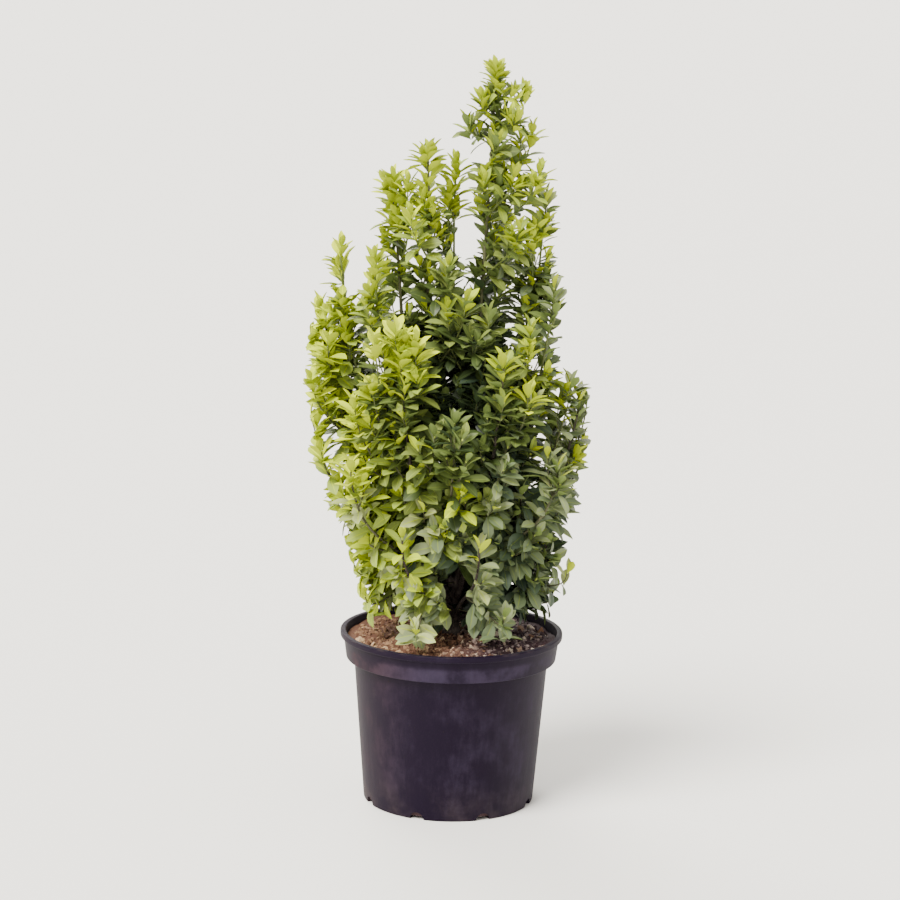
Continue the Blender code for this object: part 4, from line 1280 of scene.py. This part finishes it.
def spray_green(spot, chance):
    """How light a spray's green is, and whether it is a cool one.

    Greens are darker as painted shade deep in the crown, low down and on the shaded right, and lighter
    with new growth and painted light at the top, and with painted light on the sunny left.
    """
    outer = from_axis(spot)
    high = rise(spot.z, 0.38, 0.62)
    # Darker deep in the crown and low down as painted shade; lighter up top with new growth and painted
    # light.
    tone = 0.11 + 0.26 * rise(outer, 0.45, 1.0) + 0.32 * high
    # Lighter below the upper crown, and more so on the sunny left, as painted light.
    tone += (0.03 + 0.13 * rise(-spot.x, 0.0, 0.05)) * (1 - rise(spot.z, 0.34, 0.42))
    # Painted shade on the right, and a little painted light on the left, more so higher up.
    tone -= (0.04 + 0.09 * high) * max(-0.5, min(1.0, (spot.x - 0.01) / 0.08))
    # Painted shade in the middle of the crown, half way up.
    middle = rise(spot.x, -0.07, 0.0) * (1 - 0.8 * rise(spot.x, 0.03, 0.07))
    tone -= 0.15 * middle * rise(spot.z, 0.34, 0.4) * (1 - rise(spot.z, 0.54, 0.62))
    for change, right, above, below in TONE_PARTS:
        tone += change * rise(spot.x, *right) * rise(spot.z, *above) * (1 - rise(spot.z, *below))
    if chance.random() < BRIGHT_SHARE and outer > 0.6 and 0.26 < spot.z < 0.5:
        tone += BRIGHTER
    cool_share = rise(spot.x * 6 + (0.46 - spot.z) * 1.2, 0.0, 0.8)
    low_share = (0.2 + 0.18 * rise(spot.x, -0.04, 0.02)) * (1 - rise(spot.z, 0.27, 0.36))
    cool = chance.random() < cool_share + low_share
    return tone + chance.uniform(-0.07, 0.07), cool


def grow_shoot(growth, name):
    """The leaves and twigs of one shoot, from the end of its bare part to its tip."""
    slot = leaf_slots["leaves_" + name]
    chance = random.Random(f"{SEED} {name}")
    path = shoots[name]["path"]
    bare = path_length(shoots[name]["bare"]) if SHOOTS[name][2] else 0.0
    length = path_length(path)
    end = path[-1]
    vigour = 0.9 + 0.3 * length / path_length(shoots["leader"]["path"])
    stem = Spray(slot, chance, vigour, FRESH_AND_SHADED_SHOOTS.get(name, (0.0, 0.0)), end)
    turn = chance.uniform(0, math.pi)
    twigs_from, leaves_from = TALL_FROM if end.z > TALL_SHOOT else LOW_FROM
    place = max(0.016, bare * twigs_from)
    while place < length - 0.022:
        share = place / length
        spot, way = along(path, share)
        to_go = length - place
        for half in (0.0, math.pi):
            out = across(way, turn + half)
            inward = spot.xy.length > 0.02 and out.xy.dot(spot.xy.normalized()) < -0.3
            likely = by_height(spot.z, *TWIG_CHANCES) * (0.7 if inward else 1.0)
            size = by_height(spot.z, *TWIG_LENGTHS) * (1.15 - 0.5 * share)
            if spot.z > SPIRE_HEIGHT and to_go < SPIRE_LENGTH:
                likely *= SPIRE_CHANCE
                size *= 0.5 + 0.5 * to_go / SPIRE_LENGTH
            if chance.random() > likely:
                continue
            size *= chance.uniform(0.75, 1.2)
            growth.add_twig(stem, spot, way, turn + half, size, TWIG_RADIUS)
        turn += math.pi / 2 + chance.uniform(-0.12, 0.12)
        place += NODE_SPACING * by_height(spot.z, 1.1, 0.85)
    first = max(0.01, bare * leaves_from)
    pitch = LEAF_PITCH * by_height(end.z, 1.3, 0.9)
    growth.add_leaves(stem, path, chance.uniform(0, math.pi), first, pitch)
    for row in SIDE_TWIGS.get(name, ()):
        grow_side_twig(growth, stem, path, *row)


def grow_side_twig(growth, stem, path, share, x, y, z, lighter=0.0):
    """A long side twig from a shoot to a tip of its own, with leaves and a few short twigs."""
    tip = Vector((x, y, z))
    spot, way = along(path, share)
    start_way, end_way = end_ways(spot, way, turn_to(way, tip - spot), tip)
    end = tip - end_way * (TIP_REACH - TIP_GROWTH)
    line = curve_through(spot, start_way, end, end_way, SIDE_TWIG_STEPS)
    fresh = (stem.fresh[0] + lighter, tip.z - LIGHTER_LENGTH if lighter else stem.fresh[1])
    twig = Spray(stem.slot, stem.chance, 0.85 + 0.2 * rise(tip.z, 0.22, 0.34), fresh, tip)
    growth.twigs.append((line, np.linspace(1.5, 0.9, SIDE_TWIG_STEPS + 1) * TWIG_RADIUS))
    growth.add_leaves(twig, line, stem.chance.uniform(0, math.pi), 0.008, LEAF_PITCH)
    growth.add_twiglets(twig, line, path_length(line) * SIDE_TWIGLET_SHARE, TWIG_RADIUS * TWIGLET_RADIUS)


leaf_slots = {row["node"]: row["material_slot"] for row in frame["record"]["subparts"]}
growth = Growth()
for name in SHOOTS:
    grow_shoot(growth, name)

twigs = limb_shape.run(
    "twigs",
    lines_mesh("twigs", growth.twigs),
    limb_inputs(6, 0.0065, 0.12, 0.001, olive.material),
)
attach(twigs, "root")


# Leaves
# Evergreen leaves of euonymus: leathery, glossy above and dull pale green below, widest past the middle,
# finely toothed, folded along a pale midrib, with a tip that bends back. Young ones are yellow-green.

LEAF_ROWS = np.array([0.13, 0.33, 0.54, 0.74, 0.91])
LEAF_OUTLINE = np.array([0.25, 0.72, 0.99, 0.88, 0.42])
LEAF_TOOTH = np.array([0.0, 0.02, -0.02, 0.02, -0.02])
MID_BLADE = 0.56
LEAF_COLUMNS = np.array([-1.0, -MID_BLADE, -0.07, 0.07, MID_BLADE, 1.0])
LEAF_POINTS = 2 + len(LEAF_ROWS) * (len(LEAF_COLUMNS) + 1)
LEAF_THICK = 0.0004
LEAF_BULGE = 0.24
# How much shorter a leaf looks as it curls, how its margins wave, and how its blade swells between veins.
LEAF_SHORTER = 0.55
LEAF_WAVE = 0.07
WAVE_TURN = 5.0
LEAF_QUILT = 0.025
LEAF_SHARP = math.radians(62)
MIDRIB, BLADE, UNDERSIDE = 0, 1, 2
LEAVES_PER_PIECE = 1700
# The greens of a spray, from the oldest, darkened further as painted shade deep in the crown, to the newest
# growth.
GREENS = (
    (0.01, 0.0175, 0.0055),
    (0.023, 0.037, 0.0095),
    (0.047, 0.071, 0.0155),
    (0.086, 0.119, 0.026),
    (0.155, 0.196, 0.038),
    (0.244, 0.318, 0.044),
    (0.385, 0.475, 0.014),
    (0.57, 0.655, 0.022),
)
# Cooler blue-greens, dealt to sprays low down and on the right. The palest of them are partly a painted pale
# reflection of the sky.
COOL_GREENS = (
    (0.0085, 0.0175, 0.0105),
    (0.021, 0.036, 0.02),
    (0.046, 0.071, 0.038),
    (0.094, 0.125, 0.058),
    (0.172, 0.206, 0.094),
    (0.29, 0.328, 0.128),
)
UNDERSIDE_GREENS = (
    (0.05, 0.08, 0.032),
    (0.13, 0.18, 0.045),
    (0.35, 0.42, 0.015),
)
# The tones of the darkest and of the lightest green, and the greens from which the underside is lighter.
GREENS_FROM = -0.1
GREENS_TO = 0.98
PALER_BELOW = (3, 5)


def leaf_points(rows):
    """All the corners of many leaves at once, as an array of leaves by corners by axes."""
    rows = np.array(rows)
    root, way, side, face = (rows[:, None, i : i + 3] for i in (0, 3, 6, 9))
    length, width, fold, curl, phase = (rows[:, i, None, None] for i in range(12, 17))
    share = LEAF_ROWS[None, :, None]
    column = LEAF_COLUMNS[None, None, :]
    half = width / 2 * (LEAF_OUTLINE + LEAF_TOOTH)[None, :, None]
    forward = length * share * (1 - LEAF_SHORTER * curl**2 * share**2)
    rib = -curl * length * share**2
    lift = half * (fold * np.abs(column) - LEAF_BULGE * column**2)
    lift = lift + half * LEAF_WAVE * column * np.sin(phase + WAVE_TURN * share)
    up_and_down = np.cos(np.pi * np.arange(len(LEAF_ROWS)))[None, :, None]
    quilt = LEAF_QUILT * half * (np.abs(column) == MID_BLADE) * up_and_down

    def put(*moves):
        """Points at some distances from the leaf's root: forward, sideways and up."""
        moves = [move.reshape(len(rows), -1, 1) for move in np.broadcast_arrays(*moves)]
        return root + way * moves[0] + side * moves[1] + face * moves[2]

    top = put(forward + 0 * column, half * column, rib + lift + quilt)
    spine = put(forward[:, :, 0], 0 * forward[:, :, 0], rib[:, :, 0] - LEAF_THICK)
    tip_forward = length[:, :, 0] * (1 - LEAF_SHORTER * curl[:, :, 0] ** 2)
    tip = put(tip_forward, 0 * tip_forward, -curl[:, :, 0] * length[:, :, 0])
    return np.concatenate([root, top, spine, tip], axis=1)


def leaf_faces():
    """The faces of one leaf, and what each is made of: the midrib, the underside or the blade."""
    rows, columns = len(LEAF_ROWS), len(LEAF_COLUMNS)
    spine = 1 + rows * columns
    tip = LEAF_POINTS - 1
    faces, kinds = [], []

    def add(face, kind):
        faces.append(face)
        kinds.append(kind)

    for column in range(columns - 1):
        kind = MIDRIB if column == columns // 2 - 1 else BLADE
        add((0, 2 + column, 1 + column), kind)
        for row in range(rows - 1):
            low = 1 + row * columns + column
            add((low, low + 1, low + columns + 1, low + columns), kind)
        low = 1 + (rows - 1) * columns + column
        add((low, low + 1, tip), kind)
    for margin, flip in ((0, False), (columns - 1, True)):
        strip = [(0, 1 + margin, spine)]
        for row in range(rows - 1):
            low = 1 + row * columns + margin
            strip.append((low, low + columns, spine + row + 1, spine + row))
        strip.append((1 + (rows - 1) * columns + margin, tip, spine + rows - 1))
        for face in strip:
            add(tuple(reversed(face)) if flip else face, UNDERSIDE)
    return faces, kinds


def leaf_finish(name, colour, gloss):
    """A leathery leaf surface in one plain green, with its sheen broken by a fine grain."""
    fixed = {"Base Color": (*colour, 1.0), "Coat Weight": 0.16 * gloss**2, "Coat Roughness": 0.28}
    made = Finish(name, {**fixed, "Specular IOR Level": 0.12 + 0.26 * gloss})
    made.drive("Roughness", 0.62 - 0.24 * gloss + 0.16 * made.noise(made.place, 240.0, 3.0))
    made.bump(made.noise(made.place, 1500.0, 2.0), 0.00015, 0.6)
    return made.material


def leaf_mesh(name, rows, paints):
    """One mesh of many leaves. Each has three paints: for its midrib, its blade and its underside."""
    faces, kinds = leaf_faces()
    count = len(rows)
    points = leaf_points(rows).reshape(-1, 3)
    corners = np.concatenate(faces)
    shift = np.arange(count)[:, None] * LEAF_POINTS
    sizes = np.array([len(face) for face in faces])
    starts = np.concatenate([[0], np.cumsum(np.tile(sizes, count))[:-1]])
    paint = np.array(paints)[:, kinds]
    mesh = bpy.data.meshes.new(name)
    mesh.vertices.add(len(points))
    mesh.vertices.foreach_set("co", points.astype(np.float32).ravel())
    mesh.loops.add(len(corners) * count)
    mesh.loops.foreach_set("vertex_index", (corners[None] + shift).astype(np.int32).ravel())
    mesh.polygons.add(len(faces) * count)
    mesh.polygons.foreach_set("loop_start", starts.astype(np.int32))
    mesh.polygons.foreach_set("material_index", paint.astype(np.int32).ravel())
    mesh.update(calc_edges=True)
    mesh.validate()
    mesh.shade_smooth()
    mesh.set_sharp_from_angle(angle=LEAF_SHARP)
    return mesh


leaf_paints = [
    leaf_finish(f"{kind}_{index + 1}", colour, gloss - 0.1 * index)
    for kind, colours, gloss in (
        ("leaf_green", GREENS, 1.0),
        ("leaf_cool_green", COOL_GREENS, 1.0),
        ("leaf_underside", UNDERSIDE_GREENS, 0.3),
    )
    for index, colour in enumerate(colours)
]


def paint_numbers(tone, cool):
    """The places among the leaf paints of a leaf's midrib, blade and underside."""
    last = len(GREENS) - 1
    number = max(0, min(last, int((tone - GREENS_FROM) / (GREENS_TO - GREENS_FROM) * len(GREENS))))
    blade = len(GREENS) + min(number, len(COOL_GREENS) - 1) if cool else number
    below = len(GREENS) + len(COOL_GREENS) + sum(number >= first for first in PALER_BELOW)
    return min(last, number + 1), blade, below


for slot in ("old_leaves", "leaves", "young_leaves"):
    masses = [row["node"] for row in frame["record"]["subparts"] if row["material_slot"] == slot]
    here = [leaf for leaf in growth.leaves if leaf[0] == slot]
    parts = max(1, math.ceil(len(here) / LEAVES_PER_PIECE))
    for part in range(parts):
        paints = [paint_numbers(tone, cool) for _, tone, cool, _ in here[part::parts]]
        rows = [row for _, _, _, row in here[part::parts]]
        piece = add_piece(f"{slot}_{part + 1}", leaf_mesh(slot, rows, paints), *leaf_paints)
        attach(piece, "root")
        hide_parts(*masses)


# Buds
# A slim pointed bud closes each growing tip. It is of pale green scales folded over each other, four
# millimetres long, and grows on the end of its stem between the two youngest leaves.

BUD_SIDES = 5
BUD_LENGTH = 0.0042
BUD_RADIUS = 0.0011
# A bud's rings, from its point down: how far along it, and how wide.
BUD_RINGS = ((0.9, 0.25), (0.65, 0.72), (0.3, 1.0), (0.0, 0.55))
BUD_GREEN = (0.42, 0.5, 0.09)

points, faces = [], []
for spot, way, size in growth.buds:
    side = turn_to(way, FIRST_SIDE)
    other = way.cross(side)
    first = len(points)
    points.append(spot + way * BUD_LENGTH * size)
    for place, wide in BUD_RINGS:
        for x, y, _ in circle(1.0, 0.0, BUD_SIDES):
            ring_way = side * x + other * y
            points.append(spot + way * place * BUD_LENGTH * size + ring_way * wide * BUD_RADIUS * size)
    for face in ring_faces(len(BUD_RINGS), BUD_SIDES):
        faces.append(tuple(first + corner for corner in face))
    faces.append(tuple(len(points) - 1 - corner for corner in range(BUD_SIDES)))
buds = add_piece("buds", mesh_of("buds", points, faces), leaf_finish("bud_scales", BUD_GREEN, 0.6))
buds.data.shade_smooth()
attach(buds, "root")
